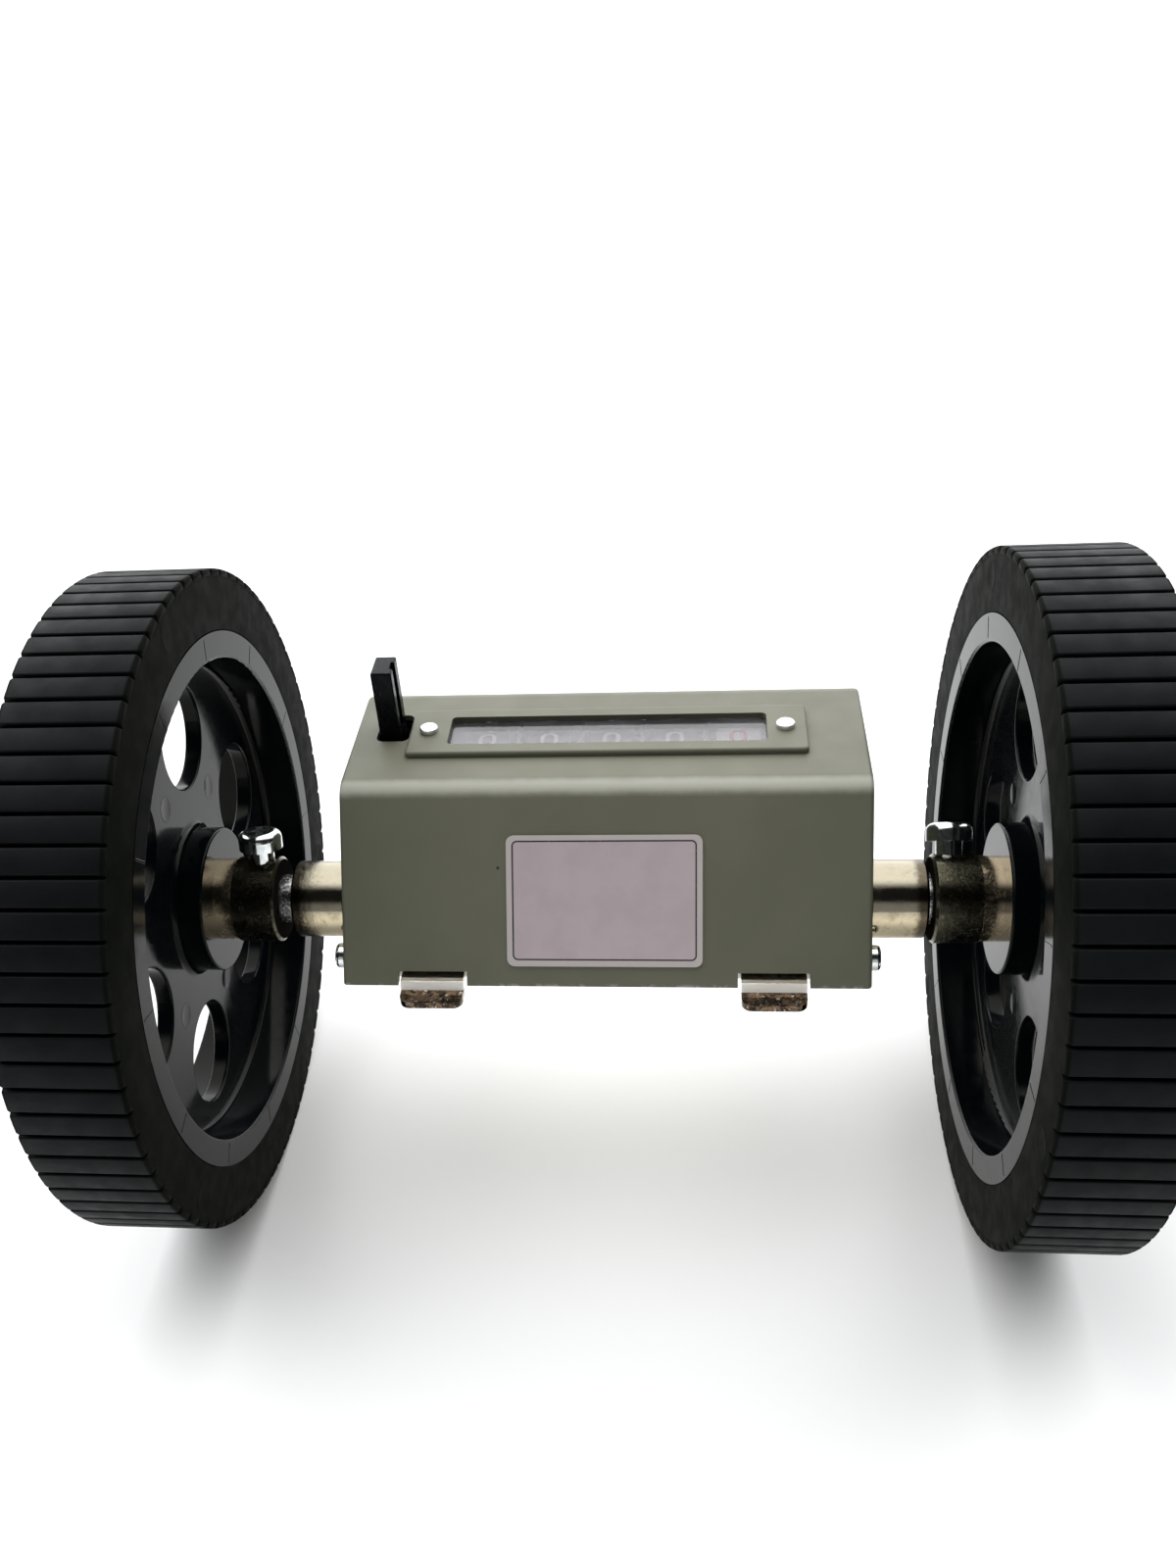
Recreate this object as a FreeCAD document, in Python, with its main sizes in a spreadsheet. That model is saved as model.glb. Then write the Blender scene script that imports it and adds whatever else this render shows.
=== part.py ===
import FreeCAD, Part
import math
import os
import Sketcher

# Twin-wheel metre counter: a measuring wheel at each end of one axle, a five-digit register between them.
# Frame: X along the axle, Y to the back, Z up, square to the top panel. The origin is the axle's centre,
# midway between the wheels.

doc = FreeCAD.newDocument("MetreCounter")
sheet = doc.addObject("Spreadsheet::Sheet", "dim")

drivingSizes = {
    # wheels
    "tyreRadius": 53.0, "rimRadius": 43.4, "rimInside": 39.1, "wheelWidth": 17.2, "wheelInner": 59.2,
    "webThick": 2.8, "webHoles": 6, "webHoleRadius": 8.5, "webHoleCircle": 26.9,
    "bossRadius": 11.8, "bossInset": 2.3, "ribCount": 80, "ribShare": 0.79, "grooveDepth": 1.0,
    "wheelTurnLeft": -24.9, "wheelTurnRight": -39.9, "wheelFootRound": 1.2, "wheelEdgeRound": 0.4,
    # axle and hubs
    "axleRadius": 4.0, "axleEnd": 75.2, "axleWaist": 2.5, "hubStart": 51.5, "collarRadius": 6.95,
    "collarLength": 7.0, "neckRadius": 6.65, "neckLength": 3.0, "spigotRadius": 6.0, "lipRadius": 7.4,
    "lipThick": 0.8, "clampScrewAt": 3.0, "clampScrewRadius": 2.0, "clampHeadRadius": 3.5,
    "clampHeadHigh": 2.9, "clampHeadBase": 8.9, "screwTurnLeft": -18.0, "screwTurnRight": -39.9,
    # housing
    "coverLeft": -40.4, "coverRight": 42.2, "coverTop": 19.0, "coverBase": -7.2, "topFront": 4.8,
    "coverBack": 33.6, "frontRun": 17.7, "sheet": 1.0, "frontBend": 4.0, "backBend": 3.0, "edgeRound": 0.7,
    "tubeRadius": 6.2, "tubeEndLeft": -48.9, "tubeEndRight": 50.7, "bushRadius": 4.9,
    "basePlate": 1.2, "footWide": 10.0, "footLeft": -25.9, "footRight": 27.4, "footDrop": 1.5, "footRun": 0.6,
    "footReach": 5.7, "footCorner": 1.6, "screwY": -8.5, "screwZ": -4.8, "sideScrewRadius": 1.25,
    "boltRadius": 1.6, "boltSpacingX": 53.3, "boltSpacingY": 30.0,
    # window, lever and label
    "windowLeft": -24.4, "windowRight": 26.7, "windowY": 18.8, "windowDeep": 8.0, "lensMargin": 1.0,
    "bezelLong": 64.0, "bezelDeep": 13.0, "bezelThick": 1.0, "bezelX": 1.0, "rivetLeft": -27.8,
    "rivetRight": 29.6, "rivetRadius": 0.9, "rivetHeadRadius": 1.5, "leverX": -34.3, "leverWide": 3.4,
    "leverFront": 18.4, "leverDeep": 5.6, "leverHigh": 12.0, "slotLeft": -36.6, "slotRight": -31.2,
    "slotFront": 17.3, "slotBack": 25.2, "labelX": 1.3, "labelLong": 30.4, "labelDeep": 20.5,
    "labelFromBend": 7.9, "labelThick": 0.3,
    # counter frame and shafts
    "plateLeft": -38.0, "plateRight": 39.8, "plateThick": 1.5, "numberY": 19.3, "numberZ": 7.5,
    "numberShaft": 1.5, "pinionShaft": 1.2, "idlerStud": 1.5, "resetY": 29.6, "resetZ": 14.6,
    "resetShaft": 1.5, "stayY": 8.0, "stayZ": 12.5, "stayRadius": 2.0, "running": 0.05,
    # number wheels and gears
    "wheelPitch": 10.2, "drumWide": 7.0, "drumRadius": 9.5, "firstDrum": 18.8, "carryTeeth": 20,
    "carryModule": 0.8, "carryPinionTeeth": 8, "pinionAngle": -40.0, "driveModule": 0.5,
    "driveTeeth": 16, "idlerTeethIn": 20, "idlerTeethOut": 15, "registerTeeth": 36, "driveGearX": 30.9,
    "driveGearWide": 2.4, "fingerReach": 11.2, "fingerRest": 176.5, "fingerWide": 0.7,
    "springWire": 0.5, "springMiddle": 2.2, "springLeg": 6.5,
}
for row, (alias, number) in enumerate(drivingSizes.items(), 1):
    sheet.set(f"A{row}", alias)
    sheet.set(f"B{row}", str(number))
    sheet.setAlias(f"B{row}", alias)
doc.recompute()

pieces = []


def value(expression):
    """The expression's value in millimetres or degrees."""
    result = sheet.evalExpression(str(expression))
    return float(getattr(result, "Value", result))


def size(alias):
    return float(sheet.get(alias))


def keep(thing, label):
    """Give a finished sub-part the name that its file gets."""
    thing.Label = label
    pieces.append(thing)
    return thing


def place(thing, base=("0", "0", "0"), rotation=FreeCAD.Rotation()):
    thing.Placement = FreeCAD.Placement(FreeCAD.Vector(*[value(b) for b in base]), rotation)
    for axis, expression in zip("xyz", base):
        if str(expression) != "0":
            thing.setExpression(f"Placement.Base.{axis}", str(expression))


def turnAboutX(degrees):
    return FreeCAD.Rotation(FreeCAD.Vector(1, 0, 0), degrees)


halfTurn = FreeCAD.Rotation(FreeCAD.Vector(0, 0, 1), 180)


def newBody(name):
    return doc.addObject("PartDesign::Body", name + "Body")


def newSketch(body, plane, offset="0"):
    """A sketch on one of the body's origin planes, moved along that plane's normal."""
    support = [f for f in body.Origin.OriginFeatures if f.Role == plane][0]
    sketch = body.newObject("Sketcher::SketchObject", "Outline")
    sketch.AttachmentSupport = [(support, "")]
    sketch.MapMode = "FlatFace"
    sketch.AttachmentOffset = FreeCAD.Placement(FreeCAD.Vector(0, 0, value(offset)), FreeCAD.Rotation())
    if str(offset) != "0":
        sketch.setExpression("AttachmentOffset.Base.z", str(offset))
    return sketch


def pin(sketch, geometry, position, across, up):
    """Hold one point of a sketch at two expressions, along its two axes."""
    for kind, axis, expression in (("DistanceX", -2, across), ("DistanceY", -1, up)):
        number = value(expression)
        if abs(number) < 1e-9:
            sketch.addConstraint(Sketcher.Constraint("PointOnObject", geometry, position, axis))
        else:
            index = sketch.addConstraint(
                Sketcher.Constraint(kind, -1, 1, geometry, position, number))
            sketch.setExpression(f"Constraints[{index}]", str(expression))


def polygon(sketch, corners):
    points = [FreeCAD.Vector(value(a), value(b), 0) for a, b in corners]
    first = sketch.GeometryCount
    count = len(points)
    for i in range(count):
        sketch.addGeometry(Part.LineSegment(points[i], points[(i + 1) % count]), False)
    for i in range(count):
        sketch.addConstraint(Sketcher.Constraint("Coincident", first + i, 2, first + (i + 1) % count, 1))
    for i, (a, b) in enumerate(corners):
        pin(sketch, first + i, 1, a, b)


def circle(sketch, across, up, radius):
    centre = FreeCAD.Vector(value(across), value(up), 0)
    index = sketch.addGeometry(Part.Circle(centre, FreeCAD.Vector(0, 0, 1), value(radius)), False)
    pin(sketch, index, 3, across, up)
    held = sketch.addConstraint(Sketcher.Constraint("Radius", index, value(radius)))
    sketch.setExpression(f"Constraints[{held}]", str(radius))


def rectangle(sketch, left, right, low, high):
    polygon(sketch, [(left, low), (right, low), (right, high), (left, high)])


def pad(body, sketch, length):
    feature = body.newObject("PartDesign::Pad", "Pad")
    feature.Profile = sketch
    feature.setExpression("Length", str(length))
    doc.recompute()
    return feature


def cut(body, sketch, length):
    """Cut against the sketch's normal, and make sure that it takes something away."""
    before = body.Shape.Volume
    feature = body.newObject("PartDesign::Pocket", "Cut")
    feature.Profile = sketch
    feature.setExpression("Length", str(length))
    doc.recompute()
    if body.Shape.Volume > before - 1e-6:
        raise RuntimeError(f"{body.Name}: a cut took nothing away")
    return feature


def roundEdges(body, radius, wanted):
    """Fillet the edges of the body's tip for which wanted(edge) is true."""
    base = body.Tip
    names = [f"Edge{i}" for i, e in enumerate(base.Shape.Edges, 1) if wanted(e)]
    feature = body.newObject("PartDesign::Fillet", "Round")
    feature.Base = (base, names)
    feature.setExpression("Radius", str(radius))
    doc.recompute()
    return feature


def isAlong(edge, axis):
    """True for a straight edge that runs along the axis."""
    if len(edge.Vertexes) != 2 or edge.Curve.TypeId != "Part::GeomLine":
        return False
    run = edge.Vertexes[1].Point - edge.Vertexes[0].Point
    return abs(abs(run.dot(axis)) - run.Length) < 1e-6


alongX = FreeCAD.Vector(1, 0, 0)
alongZ = FreeCAD.Vector(0, 0, 1)


def turned(name, outline):
    """A body of revolution about X; the outline is a list of (x, radius)."""
    body = newBody(name)
    sketch = newSketch(body, "XZ_Plane")
    polygon(sketch, outline)
    feature = body.newObject("PartDesign::Revolution", "Turned")
    feature.Profile = sketch
    feature.ReferenceAxis = (sketch, ["H_Axis"])
    feature.Angle = 360
    doc.recompute()
    return body


def tube(start, end, outside, inside):
    return [(start, inside), (start, outside), (end, outside), (end, inside)]


def prism(name, start, length, corners):
    """A body with a constant section in Y and Z, from X = start on."""
    body = newBody(name)
    sketch = newSketch(body, "YZ_Plane", start)
    polygon(sketch, corners)
    pad(body, sketch, length)
    return body


# ---- toothed outlines ----

def involutePoint(baseRadius, radius, side, halfAngle):
    """The point of an involute flank at a radius; halfAngle is the tooth's half width at the base circle."""
    rollAngle = math.sqrt(max((radius / baseRadius) ** 2 - 1, 0))
    angle = side * (halfAngle - (rollAngle - math.atan(rollAngle)))
    return angle


def toothedOutline(sketch, teeth, module, phase, addendum=1.0, dedendum=1.25, thickness=0.46):
    """Teeth as arcs: tip, two flanks and root for each, the first one centred on the phase angle."""
    pressure = math.radians(20)
    pitchRadius = module * teeth / 2
    baseRadius = pitchRadius * math.cos(pressure)
    tipRadius = pitchRadius + addendum * module
    rootRadius = pitchRadius - dedendum * module
    flankFoot = max(baseRadius, rootRadius)
    halfAngle = thickness * math.pi / teeth + math.tan(pressure) - pressure
    pitchAngle = 2 * math.pi / teeth

    def at(radius, angle):
        return FreeCAD.Vector(radius * math.cos(angle), radius * math.sin(angle), 0)

    def flank(radius, side):
        return involutePoint(baseRadius, radius, side, halfAngle)

    for tooth in range(int(teeth)):
        middle = math.radians(phase) + tooth * pitchAngle
        nextMiddle = middle + pitchAngle
        footAngle = flank(flankFoot, 1)
        tipAngle = flank(tipRadius, 1)
        halfway = (flankFoot + tipRadius) / 2
        for side in (-1, 1):
            foot = at(flankFoot, middle + side * footAngle)
            tip = at(tipRadius, middle + side * tipAngle)
            bulge = at(halfway, middle + flank(halfway, side))
            sketch.addGeometry(Part.Arc(foot, bulge, tip), False)
            if flankFoot > rootRadius + 1e-6:
                sketch.addGeometry(Part.LineSegment(at(rootRadius, middle + side * footAngle), foot), False)
        sketch.addGeometry(
            Part.Arc(at(tipRadius, middle - tipAngle), at(tipRadius, middle), at(tipRadius, middle + tipAngle)),
            False)
        sketch.addGeometry(
            Part.Arc(at(rootRadius, middle + footAngle), at(rootRadius, middle + pitchAngle / 2),
                     at(rootRadius, nextMiddle - footAngle)), False)


def toothedPad(body, start, length, bore, **gear):
    sketch = newSketch(body, "YZ_Plane", start)
    toothedOutline(sketch, **gear)
    circle(sketch, "0", "0", bore)
    return pad(body, sketch, length)


# ---- the frame's own geometry ----

frontTan = "(dim.frontRun / (dim.coverTop - dim.coverBase))"
frontThick = f"sqrt(1 + {frontTan} ^ 2)"


def frontY(height, inside):
    """Y of the sloping front at a height, moved in square to the sheet."""
    return f"dim.topFront - (dim.coverTop - ({height})) * {frontTan} + ({inside}) * {frontThick}"


def makeCover():
    body = prism("cover", "dim.coverLeft", "dim.coverRight - dim.coverLeft", [
        (frontY("dim.coverBase", "0"), "dim.coverBase"), ("dim.topFront", "dim.coverTop"),
        ("dim.coverBack", "dim.coverTop"), ("dim.coverBack", "dim.coverBase")])
    top, front, back = size("coverTop"), size("topFront"), size("coverBack")
    roundEdges(body, "dim.frontBend", lambda e: isAlong(e, alongX)
               and abs(e.Vertexes[0].Z - top) < 0.01 and abs(e.Vertexes[0].Y - front) < 0.01)
    roundEdges(body, "dim.backBend", lambda e: isAlong(e, alongX)
               and abs(e.Vertexes[0].Z - top) < 0.01 and abs(e.Vertexes[0].Y - back) < 0.01)
    ends = (size("coverLeft"), size("coverRight"))
    base = size("coverBase")
    roundEdges(body, "dim.edgeRound", lambda e: any(
        all(abs(v.X - x) < 0.01 for v in e.Vertexes) for x in ends)
        and not all(abs(v.Z - base) < 0.01 for v in e.Vertexes))
    inside = newSketch(body, "YZ_Plane", "dim.coverRight - dim.sheet")
    inTop = "dim.coverTop - dim.sheet"
    inBase = "dim.coverBase - 1"
    polygon(inside, [
        (frontY(inBase, "dim.sheet"), inBase), (frontY(f"{inTop} - dim.frontBend / 2", "dim.sheet"),
                                                f"{inTop} - dim.frontBend / 2"),
        ("dim.topFront + dim.frontBend / 2", inTop),
        ("dim.coverBack - dim.backBend", inTop), ("dim.coverBack - dim.sheet", "dim.coverTop - dim.backBend"),
        ("dim.coverBack - dim.sheet", inBase)])
    cut(body, inside, "dim.coverRight - dim.coverLeft - 2 * dim.sheet")
    window = newSketch(body, "XY_Plane", "dim.coverTop + 1")
    rectangle(window, "dim.windowLeft - dim.lensMargin - 0.1", "dim.windowRight + dim.lensMargin + 0.1",
              "dim.windowY - dim.windowDeep / 2 - 0.6", "dim.windowY + dim.windowDeep / 2 + 0.6")
    rectangle(window, "dim.slotLeft", "dim.slotRight", "dim.slotFront", "dim.slotBack")
    for x in ("dim.rivetLeft", "dim.rivetRight"):
        circle(window, x, "dim.windowY", "dim.rivetRadius + 0.02")
    cut(body, window, "dim.sheet + 2")
    roundEdges(body, "1.2", lambda e: isAlong(e, alongZ) and e.Vertexes[0].X < size("slotRight") + 0.1
               and size("slotFront") - 0.1 < e.Vertexes[0].Y < size("slotBack") + 0.1
               and e.Vertexes[0].X > size("slotLeft") - 0.1)
    bushing = newSketch(body, "YZ_Plane", "dim.coverRight + 1")
    circle(bushing, "0", "0", "dim.bushRadius + 0.3")
    cut(body, bushing, "dim.coverRight - dim.coverLeft + 2")
    throat = newSketch(body, "YZ_Plane", "dim.coverRight + 1")
    rectangle(throat, "-dim.bushRadius - 0.3", "dim.bushRadius + 0.3", "dim.coverBase - 1", "0")
    cut(body, throat, "dim.coverRight - dim.coverLeft + 2")
    for start in ("dim.coverRight + 1", "dim.coverLeft + dim.sheet"):
        screw = newSketch(body, "YZ_Plane", start)
        circle(screw, "dim.screwY", "dim.screwZ", "dim.sideScrewRadius + 0.05")
        cut(body, screw, "dim.sheet + 1")
    for offset in (f"-({frontY('dim.coverBase', '0')}) + 2", "-dim.coverBack + 3"):
        notches = newSketch(body, "XZ_Plane", offset)
        for foot in ("dim.footLeft", "dim.footRight"):
            rectangle(notches, f"{foot} - dim.footWide / 2 - 0.5", f"{foot} + dim.footWide / 2 + 0.5",
                      "dim.coverBase - 1", "dim.coverBase + 1.9")
        cut(body, notches, "6")
    return keep(body, "housing_cover")


def footOutline(forward):
    """The section of a foot: out of the plate, down a joggle and flat to its end, towards forward (1 or -1)."""
    root = "dim.coverBack - dim.sheet - 0.1" if forward > 0 else f"{frontY('dim.coverBase', 'dim.sheet')} + 0.9"
    out, back = ("+", "-") if forward > 0 else ("-", "+")
    low, high = "dim.coverBase", "dim.coverBase + dim.basePlate"
    tilt = "atan(dim.footDrop / dim.footRun)"
    kink = f"dim.basePlate * tan({tilt} / 2)"
    return [
        (f"{root} {back} 1", low), (f"{root} {out} (2.3 - {kink})", low),
        (f"{root} {out} (2.3 - {kink} + dim.footRun)", f"{low} - dim.footDrop"),
        (f"{root} {out} dim.footReach", f"{low} - dim.footDrop"),
        (f"{root} {out} dim.footReach", f"{high} - dim.footDrop"),
        (f"{root} {out} (2.3 + dim.footRun)", f"{high} - dim.footDrop"), (f"{root} {out} 2.3", high),
        (f"{root} {back} 1", high)]


def makeBasePlate():
    body = newBody("base")
    plate = newSketch(body, "XY_Plane", "dim.coverBase")
    rectangle(plate, "dim.coverLeft + dim.sheet + 0.1", "dim.coverRight - dim.sheet - 0.1",
              f"{frontY('dim.coverBase', 'dim.sheet')} + 0.9", "dim.coverBack - dim.sheet - 0.1")
    pad(body, plate, "dim.basePlate")
    for forward in (-1, 1):
        for foot in ("dim.footLeft", "dim.footRight"):
            section = newSketch(body, "YZ_Plane", f"{foot} - dim.footWide / 2")
            polygon(section, footOutline(forward))
            pad(body, section, "dim.footWide")
    frontEnd = value(footOutline(-1)[3][0])
    backEnd = value(footOutline(1)[3][0])
    roundEdges(body, "dim.footCorner", lambda e: isAlong(e, alongZ)
               and min(abs(e.Vertexes[0].Y - frontEnd), abs(e.Vertexes[0].Y - backEnd)) < 0.01)
    for start in ("dim.coverLeft + dim.sheet + 0.1", "dim.coverRight - dim.sheet - 0.1 - dim.basePlate"):
        tab = newSketch(body, "YZ_Plane", start)
        shelf = "dim.coverBase + dim.basePlate / 2"
        polygon(tab, [(f"{frontY(shelf, 'dim.sheet')} + 0.3", shelf), ("dim.screwY + 2.2", shelf),
                      ("dim.screwY + 2.2", "dim.screwZ + 2.2"),
                      (f"{frontY('dim.screwZ + 2.2', 'dim.sheet')} + 0.3", "dim.screwZ + 2.2")])
        pad(body, tab, "dim.basePlate")
        screw = newSketch(body, "YZ_Plane", f"{start} + dim.basePlate")
        circle(screw, "dim.screwY", "dim.screwZ", "dim.sideScrewRadius + 0.02")
        cut(body, screw, "dim.basePlate")
    bolts = newSketch(body, "XY_Plane", "dim.coverBase + dim.basePlate + 1")
    middle = "(dim.footLeft + dim.footRight) / 2"
    for across in ("-", "+"):
        for along in ("-", "+"):
            circle(bolts, f"{middle} {across} dim.boltSpacingX / 2", f"10.8 {along} dim.boltSpacingY / 2",
                   "dim.boltRadius")
    cut(body, bolts, "dim.basePlate + 2")
    return keep(body, "base_plate")


def pinionY():
    return "dim.numberY + dim.carryModule * (dim.carryTeeth + dim.carryPinionTeeth) / 2 * cos(dim.pinionAngle)"


def pinionZ():
    return "dim.numberZ + dim.carryModule * (dim.carryTeeth + dim.carryPinionTeeth) / 2 * sin(dim.pinionAngle)"


def idlerCentre():
    """Where the two centre distances from the axle and from the number shaft meet, on the lower side."""
    inward = size("driveModule") * (size("driveTeeth") + size("idlerTeethIn")) / 2
    outward = size("driveModule") * (size("idlerTeethOut") + size("registerTeeth")) / 2
    y, z = size("numberY"), size("numberZ")
    span = math.hypot(y, z)
    along = (inward ** 2 - outward ** 2 + span ** 2) / (2 * span)
    aside = math.sqrt(inward ** 2 - along ** 2)
    return (along * y + aside * z) / span, (along * z - aside * y) / span


idlerY, idlerZ = idlerCentre()


def makeFramePlate(label, start, stud):
    low = "dim.coverBase + dim.basePlate"
    body = prism(label, start, "dim.plateThick", [
        ("-4", low), (f"{frontY('-1.8', 'dim.sheet + 0.5')}", "-1.8"),
        (frontY("dim.coverTop - 4.5", "dim.sheet + 0.5"), "dim.coverTop - 4.5"),
        ("dim.topFront + 4", "dim.coverTop - 1.6"), ("dim.coverBack - 3.6", "dim.coverTop - 1.6"),
        ("dim.coverBack - 1.6", "dim.coverTop - 3.6"), ("dim.coverBack - 1.6", low)])
    holes = newSketch(body, "YZ_Plane", f"{start} + dim.plateThick + 1")
    circle(holes, "0", "0", "dim.bushRadius + 0.02")
    circle(holes, "dim.numberY", "dim.numberZ", "dim.numberShaft + 0.02")
    circle(holes, pinionY(), pinionZ(), "dim.pinionShaft + 0.02")
    circle(holes, "dim.resetY", "dim.resetZ", "dim.resetShaft + dim.running")
    circle(holes, "dim.stayY", "dim.stayZ", "dim.stayRadius / 2 + 0.02")
    if stud:
        circle(holes, idlerY, idlerZ, "dim.idlerStud + 0.02")
    cut(body, holes, "dim.plateThick + 2")
    return keep(body, label)


def makeBushing(label, tubeEnd, coverFace, plateInner, outward):
    """A plated tube against the housing's side, its spigot through the frame plate."""
    sign = "+" if outward > 0 else "-"
    back = "-" if outward > 0 else "+"
    bore = "dim.axleRadius + dim.running"
    shoulder = f"{coverFace} {sign} 0.05"
    body = turned(label, [
        (tubeEnd, bore), (tubeEnd, "dim.tubeRadius - 0.4"), (f"{tubeEnd} {back} 0.4", "dim.tubeRadius"),
        (shoulder, "dim.tubeRadius"), (shoulder, "dim.bushRadius"),
        (f"{plateInner} {back} 0.2", "dim.bushRadius"), (f"{plateInner} {back} 0.2", bore)])
    return keep(body, label)


def makeRod(label, start, end, radius, y, z):
    body = turned(label, [(start, "0"), (start, radius), (end, radius), (end, "0")])
    place(body, ("0", y, z))
    return keep(body, label)


def makeStay():
    inLeft, inRight = "dim.plateLeft + dim.plateThick", "dim.plateRight - dim.plateThick"
    spigot = "dim.stayRadius / 2"
    body = turned("stay", [
        ("dim.plateLeft", "0"), ("dim.plateLeft", spigot), (inLeft, spigot), (inLeft, "dim.stayRadius"),
        (inRight, "dim.stayRadius"), (inRight, spigot), ("dim.plateRight", spigot), ("dim.plateRight", "0")])
    place(body, ("0", "dim.stayY", "dim.stayZ"))
    return keep(body, "frame_stay")


def makeBezel():
    body = newBody("bezel")
    plate = newSketch(body, "XY_Plane", "dim.coverTop")
    rectangle(plate, "dim.bezelX - dim.bezelLong / 2", "dim.bezelX + dim.bezelLong / 2",
              "dim.windowY - dim.bezelDeep / 2", "dim.windowY + dim.bezelDeep / 2")
    pad(body, plate, "dim.bezelThick")
    roundEdges(body, "0.8", lambda e: isAlong(e, alongZ))
    opening = newSketch(body, "XY_Plane", "dim.coverTop + dim.bezelThick + 1")
    rectangle(opening, "dim.windowLeft", "dim.windowRight", "dim.windowY - dim.windowDeep / 2",
              "dim.windowY + dim.windowDeep / 2")
    for x in ("dim.rivetLeft", "dim.rivetRight"):
        circle(opening, x, "dim.windowY", "dim.rivetRadius + 0.02")
    cut(body, opening, "dim.bezelThick + 2")
    left, right = size("windowLeft"), size("windowRight")
    roundEdges(body, "0.8", lambda e: isAlong(e, alongZ)
               and min(abs(e.Vertexes[0].X - left), abs(e.Vertexes[0].X - right)) < 0.01)
    high = size("coverTop") + size("bezelThick")
    outerX = (size("bezelX") - size("bezelLong") / 2, size("bezelX") + size("bezelLong") / 2)
    outerY = (size("windowY") - size("bezelDeep") / 2, size("windowY") + size("bezelDeep") / 2)
    roundEdges(body, "0.5", lambda e: all(abs(v.Z - high) < 0.01 for v in e.Vertexes) and all(
        v.X < outerX[0] + 1 or v.X > outerX[1] - 1 or v.Y < outerY[0] + 1 or v.Y > outerY[1] - 1
        for v in e.Vertexes))
    return keep(body, "window_bezel")


def makeLens():
    body = newBody("lens")
    pane = newSketch(body, "XY_Plane", "dim.coverTop - dim.sheet")
    rectangle(pane, "dim.windowLeft - dim.lensMargin", "dim.windowRight + dim.lensMargin",
              "dim.windowY - dim.windowDeep / 2 - 0.5", "dim.windowY + dim.windowDeep / 2 + 0.5")
    pad(body, pane, "dim.sheet")
    return keep(body, "window_lens")


def group(label, members):
    """Separate solids that share one node."""
    compound = doc.addObject("Part::Compound", label + "Group")
    compound.Links = members
    doc.recompute()
    return keep(compound, label)


def panScrew(name, headRadius, headHigh, shankRadius, shankEnd, crossed):
    """A pan-head screw along X: the head's seat at X = 0, its crown towards +X, shankEnd below zero."""
    body = turned(name, [
        (shankEnd, "0"), (shankEnd, f"{shankRadius} - 0.2"), (f"{shankEnd} + 0.2", shankRadius),
        ("0", shankRadius), ("0", headRadius), (headHigh, headRadius), (headHigh, "0")])
    crown = value(headHigh)
    roundEdges(body, f"{headHigh} * 0.45", lambda e: e.Curve.TypeId == "Part::GeomCircle"
               and abs(e.Vertexes[0].X - crown) < 0.01)
    if crossed:
        recess = newSketch(body, "YZ_Plane", f"{headHigh} + 1")
        arm, web = f"{headRadius} * 0.58", f"{headRadius} * 0.16"
        corners = [(arm, web), (web, web), (web, arm), (f"-({web})", arm), (f"-({web})", web),
                   (f"-({arm})", web), (f"-({arm})", f"-({web})"), (f"-({web})", f"-({web})"),
                   (f"-({web})", f"-({arm})"), (web, f"-({arm})"), (web, f"-({web})"), (arm, f"-({web})")]
        polygon(recess, corners)
        cut(body, recess, f"1 + {headHigh} * 0.5")
    return body


def makeRivets():
    rivets = []
    upward = FreeCAD.Rotation(FreeCAD.Vector(0, 1, 0), -90)
    for x in ("dim.rivetLeft", "dim.rivetRight"):
        rivet = panScrew("rivet", "dim.rivetHeadRadius", "0.8", "dim.rivetRadius", "-2.4", False)
        place(rivet, (x, "dim.windowY", "dim.coverTop + dim.bezelThick"), upward)
        rivets.append(rivet)
    return group("bezel_rivets", rivets)


def makeCoverScrews():
    screws = []
    for x, turn in (("dim.coverLeft", halfTurn), ("dim.coverRight", FreeCAD.Rotation())):
        screw = panScrew("coverScrew", "2", "1.4", "dim.sideScrewRadius", "-2.2", True)
        place(screw, (x, "dim.screwY", "dim.screwZ"), turn)
        screws.append(screw)
    return group("cover_screws", screws)


def makeLabel():
    """A thin plate on the sloping front, its corners rounded."""
    body = newBody("label")
    sketch = newSketch(body, "XY_Plane")
    rectangle(sketch, "-dim.labelLong / 2", "dim.labelLong / 2", "-dim.labelDeep", "0")
    pad(body, sketch, "dim.labelThick")
    roundEdges(body, "1.2", lambda e: isAlong(e, alongZ))
    lean = math.degrees(math.atan2(size("frontRun"), size("coverTop") - size("coverBase")))
    slope = "sqrt(dim.frontRun ^ 2 + (dim.coverTop - dim.coverBase) ^ 2)"
    place(body, ("dim.labelX", f"dim.topFront - dim.labelFromBend * dim.frontRun / {slope}",
                 f"dim.coverTop - dim.labelFromBend * (dim.coverTop - dim.coverBase) / {slope}"),
          turnAboutX(90 - lean))
    return keep(body, "data_label")


# ---- axle, hubs and wheels ----

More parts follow.
